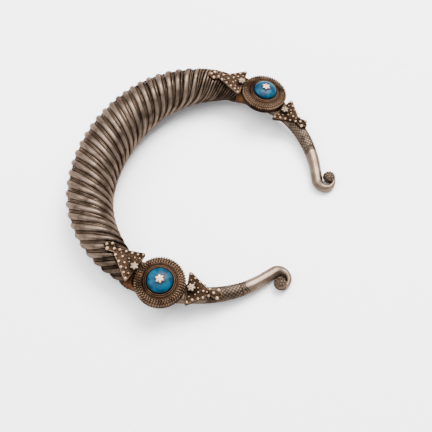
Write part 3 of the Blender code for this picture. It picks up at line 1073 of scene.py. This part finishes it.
def star(form: Form, frame: Matrix, radius: float, foot: float, rise: float, slot: int = 1) -> None:
    """Star of six rounded petals that run together, with a heart.

    Args:
        form: Mesh under work.
        frame: Frame of the flower.
        radius: Reach of the petals.
        foot: Height that they stand on.
        rise: Height that they rise to above that.
        slot: Number of the material.
    """
    made = bmesh.ops.create_uvsphere(form.bm, u_segments=72, v_segments=14, radius=1.0)["verts"]
    for vert in made:
        angle = atan2(vert.co.y, vert.co.x)
        lobe = abs(cos(3 * angle))
        away = hypot(vert.co.x, vert.co.y)
        reach = radius * (1.0 - 0.42 * (1.0 - lobe ** 0.8) * away)
        vert.co.x *= reach
        vert.co.y *= reach
        vert.co.z *= rise * (0.42 + 0.22 * lobe * away)
    bmesh.ops.transform(form.bm, matrix=frame @ Matrix.Translation((0.0, 0.0, foot + rise * 0.36)), verts=made)
    form.assign(made, slot)
    form.ball(Vector((0.0, 0.0, foot + rise * 0.66)), radius * 0.24, rise * 0.34 / (radius * 0.24), 16, 10,
              frame, slot)


COIL_GRANULES = (
    (1.5, 9.5, 0.80), (4.2, 7.5, 0.86), (7.7, 5.75, 0.92), (11.4, 4.0, 0.95), (15.4, 2.15, 0.98),
    (18.6, 0.35, 1.00), (1.5, -9.5, 0.95), (4.6, -7.4, 0.90), (8.0, -5.8, 0.92), (11.4, -4.0, 0.92),
    (15.6, -2.1, 0.95), (11.3, 0.0, 0.85), (7.2, 1.8, 0.58), (8.0, -2.2, 0.76), (5.9, 0.2, 0.50),
    (5.2, -4.3, 0.62), (4.6, 4.6, 0.52), (1.9, -5.9, 0.58), (1.9, 6.2, 0.52), (13.6, 1.5, 0.45),
    (24.2, -0.35, 1.10), (22.3, -2.35, 1.20), (21.6, 2.2, 1.10),
)
HOOK_GRANULES = (
    (1.5, 9.3, 0.80), (4.6, 7.2, 0.90), (8.0, 5.6, 0.80), (10.9, 4.2, 0.85), (14.3, 2.3, 0.90),
    (1.5, -9.4, 0.85), (4.5, -7.3, 0.90), (7.8, -5.5, 0.92), (11.1, -4.1, 0.80), (14.5, -2.2, 0.90),
    (5.9, 3.4, 0.55), (7.6, 1.4, 0.62), (7.0, -1.3, 0.58), (10.6, 0.0, 0.80), (4.4, -4.0, 0.55),
    (2.2, 5.6, 0.50), (2.1, -5.6, 0.50), (13.0, 0.1, 0.55), (17.2, -0.2, 1.00),
    (19.8, 2.60, 1.10), (20.2, -2.70, 1.10),
)


# ---------------------------------------------------------------- wound wire


@dataclass
class Winding:
    """Thick silver wires wound side by side, with a plain and a roped thin wire between each two.

    The last turns run on over the sleeves, up to the bosses.
    """

    turn: float = radians(80.3)
    pitch: float = 0.0070
    strands: int = 7
    start: float = 0.0014
    crown: float = 0.0001
    thick: float = 0.00212
    thick_left_end: float = 0.00148
    outer_swell: float = 0.19
    drawn_out: float = 0.00088
    thin: float = 0.00042
    rope: float = 0.00048
    thin_depth: float = 0.00180
    rope_lay: float = 0.0027
    plain_share: float = 0.427
    rope_share: float = 0.573
    ground_depth: float = 0.0033
    lead_parts: int = 28
    overrun: float = 0.0060
    drawn_from: float = 0.074
    drawn_run: float = 0.016
    left_from: float = 0.078
    left_run: float = 0.022
    risen_from: float = 0.076
    risen_run: float = 0.014
    bunch: float = 0.20
    bunch_ease: float = 0.08
    bunch_run: float = 0.026
    steep_least: float = -0.0007
    steep_most: float = 0.0040
    steep_from: float = 0.015
    steep_run: float = 0.050
    press_from: float = -0.022
    press_above: float = 0.004
    # Darkening of the wires toward both ends of the winding.
    right_darkening: float = 0.42
    left_darkening: float = 0.60
    right_darkening_from: float = 0.040
    left_darkening_from: float = 0.034
    darkening_run: float = 0.017

    def lead(self) -> float:
        """Length that one strand climbs in a full turn."""
        return self.pitch * self.strands

    def reach(self) -> float:
        """Length of the winding on one side of the middle of the back."""
        return RING.length_at(self.turn)

    def thick_radius(self, length: float) -> float:
        """Radius of the thick wire, which is drawn out thin at the right and less at the left."""
        if length > 0:
            return blend(self.thick, self.drawn_out, (length - self.drawn_from) / self.drawn_run)
        return blend(self.thick, self.thick_left_end, (-length - self.left_from) / self.left_run)

    def thick_level(self, length: float) -> float:
        """Depth of the thick wire below the crowns."""
        return self.crown + self.thick_radius(length)

    def risen(self, length: float) -> float:
        """How far the thin wires have come up to the level of the thick ones, toward the right end."""
        return blend(0.0, 1.0, (length - self.risen_from) / self.risen_run)

    def thin_level(self, length: float) -> float:
        """Depth of the thin wires below the crowns."""
        return self.thin_depth + (self.drawn_out - self.thin_depth) * self.risen(length)

    def ground_level(self, length: float) -> float:
        """Depth of the dark tube below the crowns."""
        return self.ground_depth + (2.0 * self.drawn_out - self.ground_depth) * self.risen(length)

    def thin_radius(self, length: float) -> float:
        """Radius of the thin wires, a little stouter toward the right end."""
        return self.thin + (self.drawn_out - self.thin) * self.risen(length)

    def rope_radius(self, length: float) -> float:
        """Radius of the roped wires."""
        return self.rope + (self.drawn_out - self.rope) * self.risen(length)

    def wandering(self, length: float, angle: float) -> float:
        """Length that a hand-wound wire strays from an even winding.

        Args:
            length: Length along the centre line in an even winding.
            angle: Angle round the centre line, nought on the outer side.

        Returns:
            The length that is added. The wires stand closer just right of the middle of the back, wider
            just left of it, and lie more slanted toward the right end.
        """
        bunch = self.pitch * (self.bunch * exp(-(length / self.bunch_run) ** 2) - self.bunch_ease)
        steep = blend(self.steep_least, self.steep_most, (length - self.steep_from) / self.steep_run)
        return bunch - steep * cos(angle)

    def place(self, length: float, angle: float, depth: float) -> Vector:
        """Point of the wound part.

        Args:
            length: Length along the centre line.
            angle: Angle round the centre line, nought on the outer side.
            depth: Depth below the crowns of the wire.

        Returns:
            The point in the ring's own plane.
        """
        turn = RING.turn_at(length)
        spoke = RING.outward(turn) * cos(angle) + UP * sin(angle)
        return RING.raised(RING.centre_line(turn)) + spoke * (RING.coil_radius(length) - depth)

    def helix(self, share: float, strand: int, steps: int, depth: Callable[[float], float],
              radius: Callable[[float], float]) -> tuple[list[Vector], list[float]]:
        """Path of one wound wire.

        Args:
            share: Place of the wire between two thick wires.
            strand: Number of the strand.
            steps: Points in a full turn.
            depth: Depth of the wire's axis at a length.
            radius: Radius of the wire at a length.

        Returns:
            The points and the wire's radius at each.
        """
        start = self.start + self.pitch * (strand + share) + self.lead() / self.lead_parts
        reach = self.reach() + self.overrun
        first = (start - reach) / self.lead()
        last = (start + reach) / self.lead()
        drift = self.pitch * (round(3 * share) / 3 - share)
        count = max(4, round((last - first) * steps))
        points = []
        radii = []
        for turns in spread(first, last, count):
            length = start - self.lead() * turns
            length += self.wandering(length, 2 * pi * turns) + drift * self.risen(length)
            swell = 1.0 if share else 1.0 + self.outer_swell * cos(2 * pi * turns)
            points.append(self.place(length, 2 * pi * turns, depth(length) * swell))
            radii.append(radius(length) * swell)
        return points, radii

    def trim(self, form: Form) -> None:
        """Cut the wires square at both ends of the winding and close the cuts."""
        for turn in (self.turn, -self.turn):
            everything = form.bm.verts[:] + form.bm.edges[:] + form.bm.faces[:]
            normal = RING.forward(turn) * copysign(1.0, turn)
            cut = bmesh.ops.bisect_plane(form.bm, geom=everything, dist=1e-7, clear_outer=True,
                                         plane_co=RING.centre_line(turn), plane_no=normal)
            edges = [item for item in cut["geom_cut"] if isinstance(item, bmesh.types.BMEdge)]
            bmesh.ops.holes_fill(form.bm, edges=edges, sides=0)

    def press(self, form: Form, plate: Plate) -> None:
        """Hold the wires below the plates that lie on them, at both ends."""
        for vert in form.bm.verts:
            if vert.co.y > self.press_from or vert.co.z < self.press_above:
                continue
            mirrored = Vector((abs(vert.co.x), vert.co.y, vert.co.z))
            pressed = plate.presses(mirrored)
            vert.co = Vector((copysign(pressed.x, vert.co.x), pressed.y, pressed.z))

    def darkening(self, point: Vector) -> float:
        """Darkening of the wires, heavier toward both ends and most at the left."""
        if point.x > 0:
            return blend(0.0, self.right_darkening, (-point.y - self.right_darkening_from) / self.darkening_run)
        return blend(0.0, self.left_darkening, (-point.y - self.left_darkening_from) / self.darkening_run)

    def build_thick(self, finishes: Finishes, plate: Plate) -> None:
        """Thick wires, and the tube that they are wound on, near black as painted shade in the gaps."""
        form = Form()
        for strand in range(self.strands):
            points, radii = self.helix(0.0, strand, 60, self.thick_level, self.thick_radius)
            form.drawn([WirePath(points, radii, 14)])
        form.paint(self.darkening)
        angles = [2 * pi * step / 32 for step in range(32)]
        sections = [[self.place(length, angle, self.ground_level(length)) for angle in angles]
                    for length in spread(-self.reach(), self.reach(), 90)]
        form.swept(sections, 1)
        self.press(form, plate)
        self.trim(form)
        form.placed("thick_wires", (finishes.silver, finishes.shaded_core), ("wound_wire_hoop",))

    def build_thin(self, finishes: Finishes, plate: Plate) -> None:
        """Plain thin wires between the thick ones."""
        form = Form()
        for strand in range(self.strands):
            points, radii = self.helix(self.plain_share, strand, 44, self.thin_level, self.thin_radius)
            form.drawn([WirePath(points, radii, 8)])
        form.paint(self.darkening)
        self.press(form, plate)
        self.trim(form)
        form.placed("thin_wires", (finishes.thin_wire,), ("wound_wire_hoop",))

    def build_rope(self, finishes: Finishes, plate: Plate) -> None:
        """Roped thin wires between the thick ones."""
        form = Form()
        steps = round(2 * pi * RING.coil_back_radius / self.rope_lay * 7.2)
        for strand in range(self.strands):
            points, radii = self.helix(self.rope_share, strand, steps, self.thin_level, self.rope_radius)
            form.drawn([WirePath(points, radii, 8, self.rope_lay)])
        form.paint(self.darkening)
        self.press(form, plate)
        self.trim(form)
        form.placed("roped_wires", (finishes.thin_wire,), ("wound_wire_hoop",))

    def build(self, finishes: Finishes, plate: Plate) -> None:
        """Build all wires of the wound part."""
        self.build_thick(finishes, plate)
        self.build_thin(finishes, plate)
        self.build_rope(finishes, plate)


# ---------------------------------------------------------------- collar, boss and stone


@dataclass
class Collar:
    """Copper sleeve from the end of the wire to under the boss, with two beads of wire at its mouth."""

    radius: float = 0.0097
    end_radius: float = 0.0092
    sides: int = 64
    bead: float = 0.00045
    mouth_turn: float = radians(80.9)
    bead_turns: tuple[float, float] = (radians(0.3), radians(1.6))
    tuck: float = 0.0012
    joint: float = 0.0003

    def build(self, side: Side, finishes: Finishes, plate: Plate) -> None:
        """Build the sleeve.

        Args:
            side: End of the necklace.
            finishes: Materials of the necklace.
            plate: Plate that lies on the sleeve.
        """
        form = Form()
        start = RING.coil_turn + self.joint / RING.front_arc[0]
        under = RING.boss_turn - BOSS_PLACE.distance() / RING.front_arc[0]
        sections = []
        for turn in spread(start, RING.collar_turn, 22):
            share = (turn - under) / (RING.collar_turn - under)
            radius = blend(self.radius, self.end_radius, share)
            if turn < self.mouth_turn:
                radius = self.end_radius - self.tuck
            centre = RING.raised(RING.centre_line(turn))
            sections.append([centre + RING.outward(turn) * radius * cos(angle) + UP * radius * sin(angle)
                             for angle in spread(0.0, 2 * pi * (1 - 1 / self.sides), self.sides)])
        form.swept(sections)
        for step in self.bead_turns:
            turn = self.mouth_turn + step
            across = Matrix((RING.outward(turn), UP, RING.forward(turn))).transposed().to_4x4()
            frame = Matrix.Translation(RING.raised(RING.centre_line(turn))) @ across
            form.drawn([circle_path(self.radius, self.bead, frame, steps=72)])
        BOSS_PLACE.hold_under(form, plate)
        name = f"collar_{side.word}"
        form.placed(f"{name}_sleeve", (finishes.copper,), (name,), side)


@dataclass
class Boss:
    """Stepped disc with ropes round its top, a worked wall, and the bezel of the stone."""

    wall: float = 0.0044
    shoulder: float = 0.0050
    step: float = 0.0054
    bezel_top: float = 0.0064
    bezel_radius: float = 0.0095
    stone_radius: float = 0.0083
    stone_foot: float = 0.0053
    girdle: float = 0.0014
    dome: float = 0.0032
    crown_radius: float = 0.0016
    flower_radius: float = 0.0029
    flower_height: float = 0.0014
    beads: int = 56
    bead_radius: float = 0.00062
    bead_lean: float = radians(18.0)
    tick_slant: float = radians(38.0)
    patch_edge: float = -0.0118
    patch_width: float = 0.0044

    def profile(self) -> list[tuple[float, float]]:
        """Outline of the disc from its underside to the seat of the stone."""
        radius = BOSS_PLACE.radius
        return [
            (0.0, 0.0), (radius - 0.0012, 0.0), (radius - 0.0007, 0.0003),
            (radius - 0.0007, self.wall - 0.0006), (radius - 0.0010, self.wall - 0.0001),
            (0.0149, self.wall), (0.0147, self.wall + 0.0002),
            (0.0128, self.shoulder - 0.0002), (0.0125, self.shoulder), (0.0119, self.shoulder),
            (0.0117, self.shoulder + 0.0001), (0.0106, self.step), (0.0103, self.step), (0.0100, self.step),
            (0.0097, self.step + 0.0003), (self.bezel_radius, self.bezel_top - 0.0003),
            (self.bezel_radius - 0.0001, self.bezel_top - 0.0001),
            (self.bezel_radius - 0.0004, self.bezel_top), (self.stone_radius + 0.0005, self.bezel_top - 0.0001),
            (self.stone_radius + 0.00015, self.bezel_top - 0.0005), (self.stone_radius + 0.00015, 0.0050),
            (0.0, 0.0050),
        ]

    def build_disc(self, side: Side, finishes: Finishes) -> None:
        """Build the disc with its ropes and its wall."""
        frame = BOSS_PLACE.frame()
        form = Form()
        form.turned(self.profile(), 112, frame)
        foot_rope = circle_path(BOSS_PLACE.radius - 0.0008, 0.00072,
                                frame @ Matrix.Translation((0.0, 0.0, 0.0008)), lays=29, turn_back=True)
        inner_rope = circle_path(0.0111, 0.00062,
                                 frame @ Matrix.Translation((0.0, 0.0, self.shoulder + 0.00035)), lays=22)
        form.drawn([foot_rope, inner_rope])
        slant = self.tick_slant
        for radius, rise, count, lean, size in ((BOSS_PLACE.radius - 0.0008, -0.0001, 60, slant, 0.00058),
                                                (0.01400, 0.0004, 52, slant, 0.00052),
                                                (0.01280, 0.0007, 48, -slant, 0.00048)):
            self.tick_ring(form, frame, radius, self.wall + rise, count, lean, size)
        for radius, height, wire in ((0.0119, self.shoulder + 0.0003, 0.00036), (0.0149, self.wall, 0.00025),
                                     (0.0102, self.step + 0.0002, 0.00040)):
            ring = frame @ Matrix.Translation((0.0, 0.0, height))
            form.drawn([circle_path(radius, wire, ring, steps=96, sides=6)])
        self.work_wall(form, frame)
        self.wear_through(form, frame)
        name = f"boss_{side.word}"
        materials = (finishes.gilt, finishes.copper, finishes.tick)
        form.placed(f"{name}_worked", materials, (name,), side)

    def work_wall(self, form: Form, frame: Matrix) -> None:
        """Herringbone of long grains round the wall."""
        for index in range(self.beads):
            turn = frame @ Matrix.Rotation(2 * pi * index / self.beads, 4, "Z")
            place = Matrix.Translation((BOSS_PLACE.radius - 0.0007, 0.0, self.wall * 0.51))
            lean = Matrix.Rotation(self.bead_lean if index % 2 else -self.bead_lean, 4, "X")
            stretch = Matrix.Diagonal((0.9, 0.8, 2.0, 1.0))
            bmesh.ops.create_uvsphere(form.bm, u_segments=8, v_segments=6, radius=self.bead_radius,
                                      matrix=turn @ place @ lean @ stretch)

    @staticmethod
    def tick_ring(form: Form, frame: Matrix, radius: float, height: float, count: int, lean: float,
                  size: float) -> None:
        """Ring of slanted grains, like the strands of a thick rope.

        Args:
            form: Mesh under work.
            frame: Frame of the boss.
            radius: Radius of the ring.
            height: Height of the grains' middles.
            count: How many grains.
            lean: Slant of the grains.
            size: Half the width of a grain.
        """
        for index in range(count):
            turn = Matrix.Rotation(2 * pi * index / count, 4, "Z") @ Matrix.Translation((radius, 0.0, height))
            shape = Matrix.Rotation(lean, 4, "Z") @ Matrix.Diagonal((1.75, 1.0, 1.0, 1.0))
            made = bmesh.ops.create_uvsphere(form.bm, u_segments=8, v_segments=6, radius=size,
                                             matrix=frame @ turn @ shape)["verts"]
            form.assign(made, 2)

    def wear_through(self, form: Form, frame: Matrix) -> None:
        """Bare copper where the rim is worn through, beside the sleeve."""
        inverse = frame.inverted()
        for face in form.bm.faces:
            local = inverse @ face.calc_center_median()
            patch = self.patch_width + 0.0012 * sin(local.x * 5200)
            if face.material_index == 0 and local.x < self.patch_edge and abs(local.y - 0.0012) < patch:
                face.material_index = 1

    def build_stone(self, side: Side, finishes: Finishes) -> None:
        """Build the cabochon."""
        girdle = self.stone_foot + self.girdle
        end = asin(self.crown_radius / self.stone_radius)
        rise = self.dome / cos(end)
        profile = [(0.0, self.stone_foot), (self.stone_radius, self.stone_foot)]
        profile += [(self.stone_radius * cos(angle), girdle + rise * sin(angle))
                    for angle in spread(0.0, pi / 2 - end, 20)]
        profile.append((0.0, girdle + self.dome))
        form = Form()
        form.turned(profile, 72, BOSS_PLACE.frame())
        inverse = BOSS_PLACE.frame().inverted()
        # Painted shade at the rim of the stone and round the foot of the flower.
        form.paint(lambda point: self.rim_shade(inverse @ point))
        name = f"cabochon_{side.word}"
        form.placed(f"{name}_stone", (finishes.glass,), (name,), side)

    def rim_shade(self, local: Vector) -> float:
        """Painted shade on the stone, at its rim and round the foot of the flower."""
        away = hypot(local.x, local.y)
        rim = blend(0.0, 0.85, (away - self.stone_radius * 0.86) / (self.stone_radius * 0.14))
        heart = blend(0.55, 0.0, (away - self.flower_radius * 0.80) / 0.0012)
        return max(rim, heart)

    def build_flower(self, side: Side, finishes: Finishes) -> None:
        """Build the flower stud on the crown of the stone."""
        crown = self.stone_foot + self.girdle + self.dome
        frame = BOSS_PLACE.frame() @ Matrix.Translation((0.0, 0.0, crown + 0.0003))
        form = Form()
        radius = self.flower_radius
        height = self.flower_height
        cup = ((0.0, 0.0), (radius * 0.6, 0.0), (radius * 0.64, height * 0.25), (0.0, height * 0.5))
        form.turned(cup, 30, frame)
        star(form, frame, radius, height * 0.12, height * 0.88)
        name = f"flower_stud_{side.word}"
        form.placed(f"{name}_worked", (finishes.silver, finishes.granule), (name,), side)

    def build(self, side: Side, finishes: Finishes) -> None:
        """Build the boss, its stone and its flower."""
        self.build_disc(side, finishes)
        self.build_stone(side, finishes)
        self.build_flower(side, finishes)


# ---------------------------------------------------------------- terminal


@dataclass
class Terminal:
    """Socket, eight-sided rod with an engraved band, curl and knob."""

    socket: float = 0.0092
    throat: float = 0.0053
    throat_turn: float = radians(120.0)
    end: float = 0.0040
    sides: int = 96
    joint: float = 0.0003
    facet_share: float = 0.7
    facet_start: float = radians(106.0)
    facet_run: float = radians(10.0)
    curl_facets: float = 0.2
    narrowing: float = 1.25
    strip_end: float = 0.0018
    band_start: float = radians(119.0)
    band_end: float = radians(137.6)
    border_turn: float = radians(3.4)
    border_slope: float = 0.45
    border_half: float = 0.0042
    border_lines: tuple[float, float] = (0.0012, 0.0013)
    line_width: float = 0.00036
    hatch: float = 0.0026
    cut: float = 0.00025
    cut_grime: float = 0.95
    band_grime: tuple[float, float] = (0.55, 0.26)
    # Painted shade inside the curl, where its inner wall lies in shadow.
    curl_shade: float = 0.7
    knob_radius: float = 0.0044
    knob_height: float = 0.0082
    knob_rise: float = 0.0015
    knob_nestle: float = 0.0020
    knob_clearance: float = 0.0004
    flutes: int = 12
    flute_depth: float = 0.11
    knob_rope: float = 0.00035

    def facet(self, angle: float, share: float) -> float:
        """Radius of a softened eight-sided section, as a share of the round one.

        Args:
            angle: Angle round the section.
            share: How far the facets are cut, from nought to one.

        Returns:
            The share.
        """
        within = (angle + pi / 8) % (pi / 4) - pi / 8
        flat = cos(pi / 8) / cos(within) * 1.035
        return 1.0 + (min(flat, 1.0) - 1.0) * share

    def engraving(self, along: float, around: float) -> float:
        """Depth of the engraving, as a share of a full cut.

        Args:
            along: Length from the start of the band.
            around: Arc from the top of the rod, along the section.

        Returns:
            Nought on plain metal, one in the middle of a cut.
        """
        band = (self.band_end - self.band_start) * RING.front_arc[0]
        edge = band + self.border_slope * min(abs(around), self.border_half)
        depth = 0.0
        if 0.0 < along < edge - 0.0004:
            for way in (1, -1):
                phase = ((along + way * around) / self.hatch) % 1.0
                depth = max(depth, 1.25 - abs(phase - 0.5) * 5.5)
        before, beyond = self.border_lines
        for line in (edge, band - before, edge + beyond):
            depth = max(depth, 1.3 - abs(along - line) / self.line_width)
        return min(max(depth, 0.0), 1.0)

    def section(self, centre: Vector, across: Vector, half_width: float, half_height: float,
                share: float, along: float) -> tuple[Section, list[float]]:
        """One section of the terminal.

        Args:
            centre: Point of the centre line.
            across: Direction across the rod.
            half_width: Half its width.
            half_height: Half its height.
            share: How far the facets are cut.
            along: Length from the start of the engraved band.

        Returns:
            The points, and the depth of the engraving at each.
        """
        middle = RING.raised(centre)
        ring = []
        cuts = []
        for step in range(self.sides):
            angle = 2 * pi * step / self.sides
            around = (angle - pi / 2 + pi) % (2 * pi) - pi
            depth = self.engraving(along, around * half_width)
            reach = self.facet(angle, share)
            inward = self.cut * depth
            ring.append(middle + across * (half_width * reach - inward) * cos(angle)
                        + UP * (half_height * reach - inward) * sin(angle))
            cuts.append(depth)
        return ring, cuts

    def rod_section(self, turn: float, start: float) -> tuple[Section, list[float]]:
        """Section of the socket or the rod, where the centre line has turned by an angle."""
        if turn < self.throat_turn:
            radius = blend(self.socket, self.throat, (turn - start) / (self.throat_turn - start))
        else:
            share = (turn - self.throat_turn) / (RING.rod_turn - self.throat_turn)
            radius = self.throat + (self.end - self.throat) * share
        facets = blend(0.0, self.facet_share, (turn - self.facet_start) / self.facet_run)
        along = (turn - self.band_start) * RING.front_arc[0]
        return self.section(RING.centre_line(turn), RING.outward(turn), radius, radius, facets, along)

    def curl_section(self, step: float) -> tuple[Section, list[float]]:
        """Section of the curl, where it has turned back by an angle."""
        turn = RING.rod_turn - step
        share = step / (RING.curl_turn / 3)
        half_width = self.end + (self.strip_end - self.end) * min(step / RING.curl_turn * self.narrowing, 1.0)
        half_height = blend(self.end, RING.strip_height / 2, share)
        centre = RING.curl_centre() - RING.outward(turn) * RING.curl_radius
        facets = blend(self.facet_share, self.curl_facets, share)
        return self.section(centre, RING.outward(turn), half_width, half_height, facets, 1.0)

    def sections(self) -> tuple[list[Section], list[list[float]]]:
        """Sections of the terminal, and the depth of the engraving at each of their points."""
        start = RING.collar_turn + self.joint / RING.front_arc[0]
        border = self.band_end + self.border_turn
        turns = spread(start, self.band_start, 26)[:-1]
        turns += spread(self.band_start, border, 130)[:-1]
        turns += spread(border, RING.rod_turn, 12)
        made = [self.rod_section(turn, start) for turn in turns]
        made += [self.curl_section(step) for step in spread(0.0, RING.curl_turn, 54)]
        return [ring for ring, _ in made], [cuts for _, cuts in made]

    def knob_centre(self) -> Vector:
        """Middle of the knob, beside the rod at its clearance and touching the end of the curl."""
        end_turn = RING.rod_turn - RING.curl_turn
        curl_end = RING.curl_centre() - RING.outward(end_turn) * RING.curl_radius
        room = (curl_end - RING.rod_end()).dot(RING.outward(RING.rod_turn)) - self.end
        sideways = room - self.knob_clearance - self.knob_radius
        backward = sqrt(self.knob_radius ** 2 - sideways ** 2)
        flat = curl_end - RING.outward(RING.rod_turn) * sideways - RING.forward(RING.rod_turn) * backward
        return RING.raised(flat + RING.forward(RING.rod_turn) * self.knob_nestle) + UP * self.knob_rise

    def build_rod(self, side: Side, finishes: Finishes, plate: Plate) -> None:
        """Build socket, rod and curl."""
        form = Form()
        sections, depths = self.sections()
        form.swept(sections, marks=[[self.cut_grime * depth for depth in cuts] for cuts in depths])
        BOSS_PLACE.hold_under(form, plate)
        form.paint(self.darkening)
        name = f"terminal_{side.word}"
        form.placed(f"{name}_rod", (finishes.rod,), (name,), side)

    def darkening(self, point: Vector) -> float:
        """Grime on the socket and the band, and painted shade inside the curl."""
        start = RING.centre_line(self.band_start).y
        end = RING.centre_line(self.band_end).y
        band = blend(*self.band_grime, (start - point.y) / (start - end)) if point.y > end else 0.0
        centre = RING.curl_centre()
        within = hypot(point.x - centre.x, point.y - centre.y)
        # Painted shade on the inner wall of the curl.
        curl = blend(self.curl_shade, 0.0, (within - RING.curl_radius * 0.72) / 0.0012)
        return max(band, curl)

    def build_knob(self, side: Side, finishes: Finishes) -> None:
        """Build the fluted knob with its cluster of granules."""
        form = Form()
        made = bmesh.ops.create_uvsphere(form.bm, u_segments=self.flutes * 6, v_segments=24, radius=1.0)
        for vert in made["verts"]:
            angle = atan2(vert.co.y, vert.co.x)
            flute = 1.0 - self.flute_depth * (0.5 - 0.5 * cos(self.flutes * angle)) ** 0.7
            vert.co.x *= self.knob_radius * flute
            vert.co.y *= self.knob_radius * flute
            vert.co.z *= self.knob_height / 2
        centre = Matrix.Translation(self.knob_centre())
        bmesh.ops.transform(form.bm, matrix=centre, verts=form.bm.verts)
        clusters = ((1, 0.0, 0.0, 0.0001, 0.00085), (6, 0.0, 0.0018, 0.00045, 0.00070),
                    (10, 0.5, 0.0032, 0.0016, 0.00060))
        for count, offset, reach, drop, size in clusters:
            for index in range(count):
                angle = 2 * pi * (index + offset) / count
                place = Vector((reach * cos(angle), reach * sin(angle), self.knob_height / 2 - drop))
                form.ball(place, size, 1.0, 10, 6, centre, 1)
        form.drawn([circle_path(self.knob_radius * 0.97, self.knob_rope, centre, lays=9)])
        name = f"terminal_{side.word}"
        form.placed(f"{name}_knob", (finishes.thin_wire, finishes.silver), (name,), side)

    def build(self, side: Side, finishes: Finishes, plate: Plate) -> None:
        """Build the terminal with its knob."""
        self.build_rod(side, finishes, plate)
        self.build_knob(side, finishes)


# ---------------------------------------------------------------- studio


@dataclass
class Studio:
    """Table, soft light and the camera of the photograph."""

    azimuth: float = radians(-64.86)
    elevation: float = radians(61.0)
    distance: float = 0.4584
    target: tuple[float, float, float] = (-0.0148, -0.0209, 0.0)
    lens: float = 54.75
    floor_size: float = 6.0

    def set_camera(self) -> None:
        """Place the camera and make it the scene's own."""
        data = bpy.data.cameras.new("photo_camera")
        data.lens = self.lens
        data.sensor_width = 36.0
        data.clip_start = 0.01
        camera = bpy.data.objects.new("photo_camera", data)
        back = Vector((sin(self.azimuth) * cos(self.elevation), -cos(self.azimuth) * cos(self.elevation),
                       sin(self.elevation)))
        camera.location = Vector(self.target) + back * self.distance
        camera.rotation_euler = back.to_track_quat("Z", "Y").to_euler()
        bpy.context.scene.collection.objects.link(camera)
        bpy.context.scene.camera = camera

    def lay_floor(self, finishes: Finishes) -> None:
        """Lay the plain table."""
        bm = bmesh.new()
        bmesh.ops.create_grid(bm, x_segments=1, y_segments=1, size=self.floor_size / 2)
        mesh = bpy.data.meshes.new("table_top")
        bm.to_mesh(mesh)
        bm.free()
        mesh.materials.append(finishes.floor)
        floor = bpy.data.objects.new("table_top", mesh)
        floor.location.z = -0.0001
        bpy.context.scene.collection.objects.link(floor)

    def light(self, name: str, way: tuple[float, float, float], away: float, size: float, power: float,
              colour: Colour) -> None:
        """Soft square light that looks at the necklace.

        Args:
            name: Name of the light.
            way: Direction from the necklace to the light.
            away: Distance of the light.
            size: Width of the light.
            power: Power in watts.
            colour: Colour of the light.
        """
        data = bpy.data.lights.new(name, "AREA")
        data.shape = "SQUARE"
        data.size = size
        data.energy = power
        data.color = colour
        lamp = bpy.data.objects.new(name, data)
        direction = Vector(way).normalized()
        lamp.location = direction * away
        lamp.rotation_euler = direction.to_track_quat("Z", "Y").to_euler()
        bpy.context.scene.collection.objects.link(lamp)

    def light_up(self) -> None:
        """Set the soft key light, the fill and the pale surroundings."""
        self.light("key_softbox", (0.49, -0.085, 0.87), 1.4, 0.80, 68.0, (1.0, 0.99, 0.975))
        self.light("top_softbox", (-0.1, 0.35, 1.0), 1.8, 2.0, 88.0, (0.98, 0.99, 1.0))
        world = bpy.data.worlds.new("pale_room")
        world.use_nodes = True
        background = world.node_tree.nodes["Background"]
        background.inputs["Color"].default_value = (0.93, 0.95, 1.0, 1.0)
        background.inputs["Strength"].default_value = 0.95
        bpy.context.scene.world = world

    def build(self, finishes: Finishes) -> None:
        """Set up camera, table and light."""
        self.set_camera()
        self.lay_floor(finishes)
        self.light_up()


def main() -> None:
    """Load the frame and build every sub-assembly in order."""
    logging.basicConfig(level=logging.INFO, format="%(name)s: %(message)s")
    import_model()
    finishes = Finishes()
    Studio().build(finishes)
    coil_plate = Plate(Place.COIL, turn=radians(83.0), thickness=0.0018, shift=0.0016, lean=0.0027,
                       rosette_x=0.0014, granules=COIL_GRANULES)
    hook_plate = Plate(Place.HOOK, turn=radians(107.5), thickness=0.0023, shift=0.0004, lean=0.0012,
                       rosette_x=0.0028, granules=HOOK_GRANULES, length=0.0200, tip_radius=0.0028)
    for plate in (coil_plate, hook_plate):
        plate.prepare()
    Winding().build(finishes, coil_plate)
    for side in Side:
        Collar().build(side, finishes, coil_plate)
        Boss().build(side, finishes)
        Terminal().build(side, finishes, hook_plate)
        coil_plate.build(side, finishes)
        hook_plate.build(side, finishes)


if __name__ == "__main__":
    main()
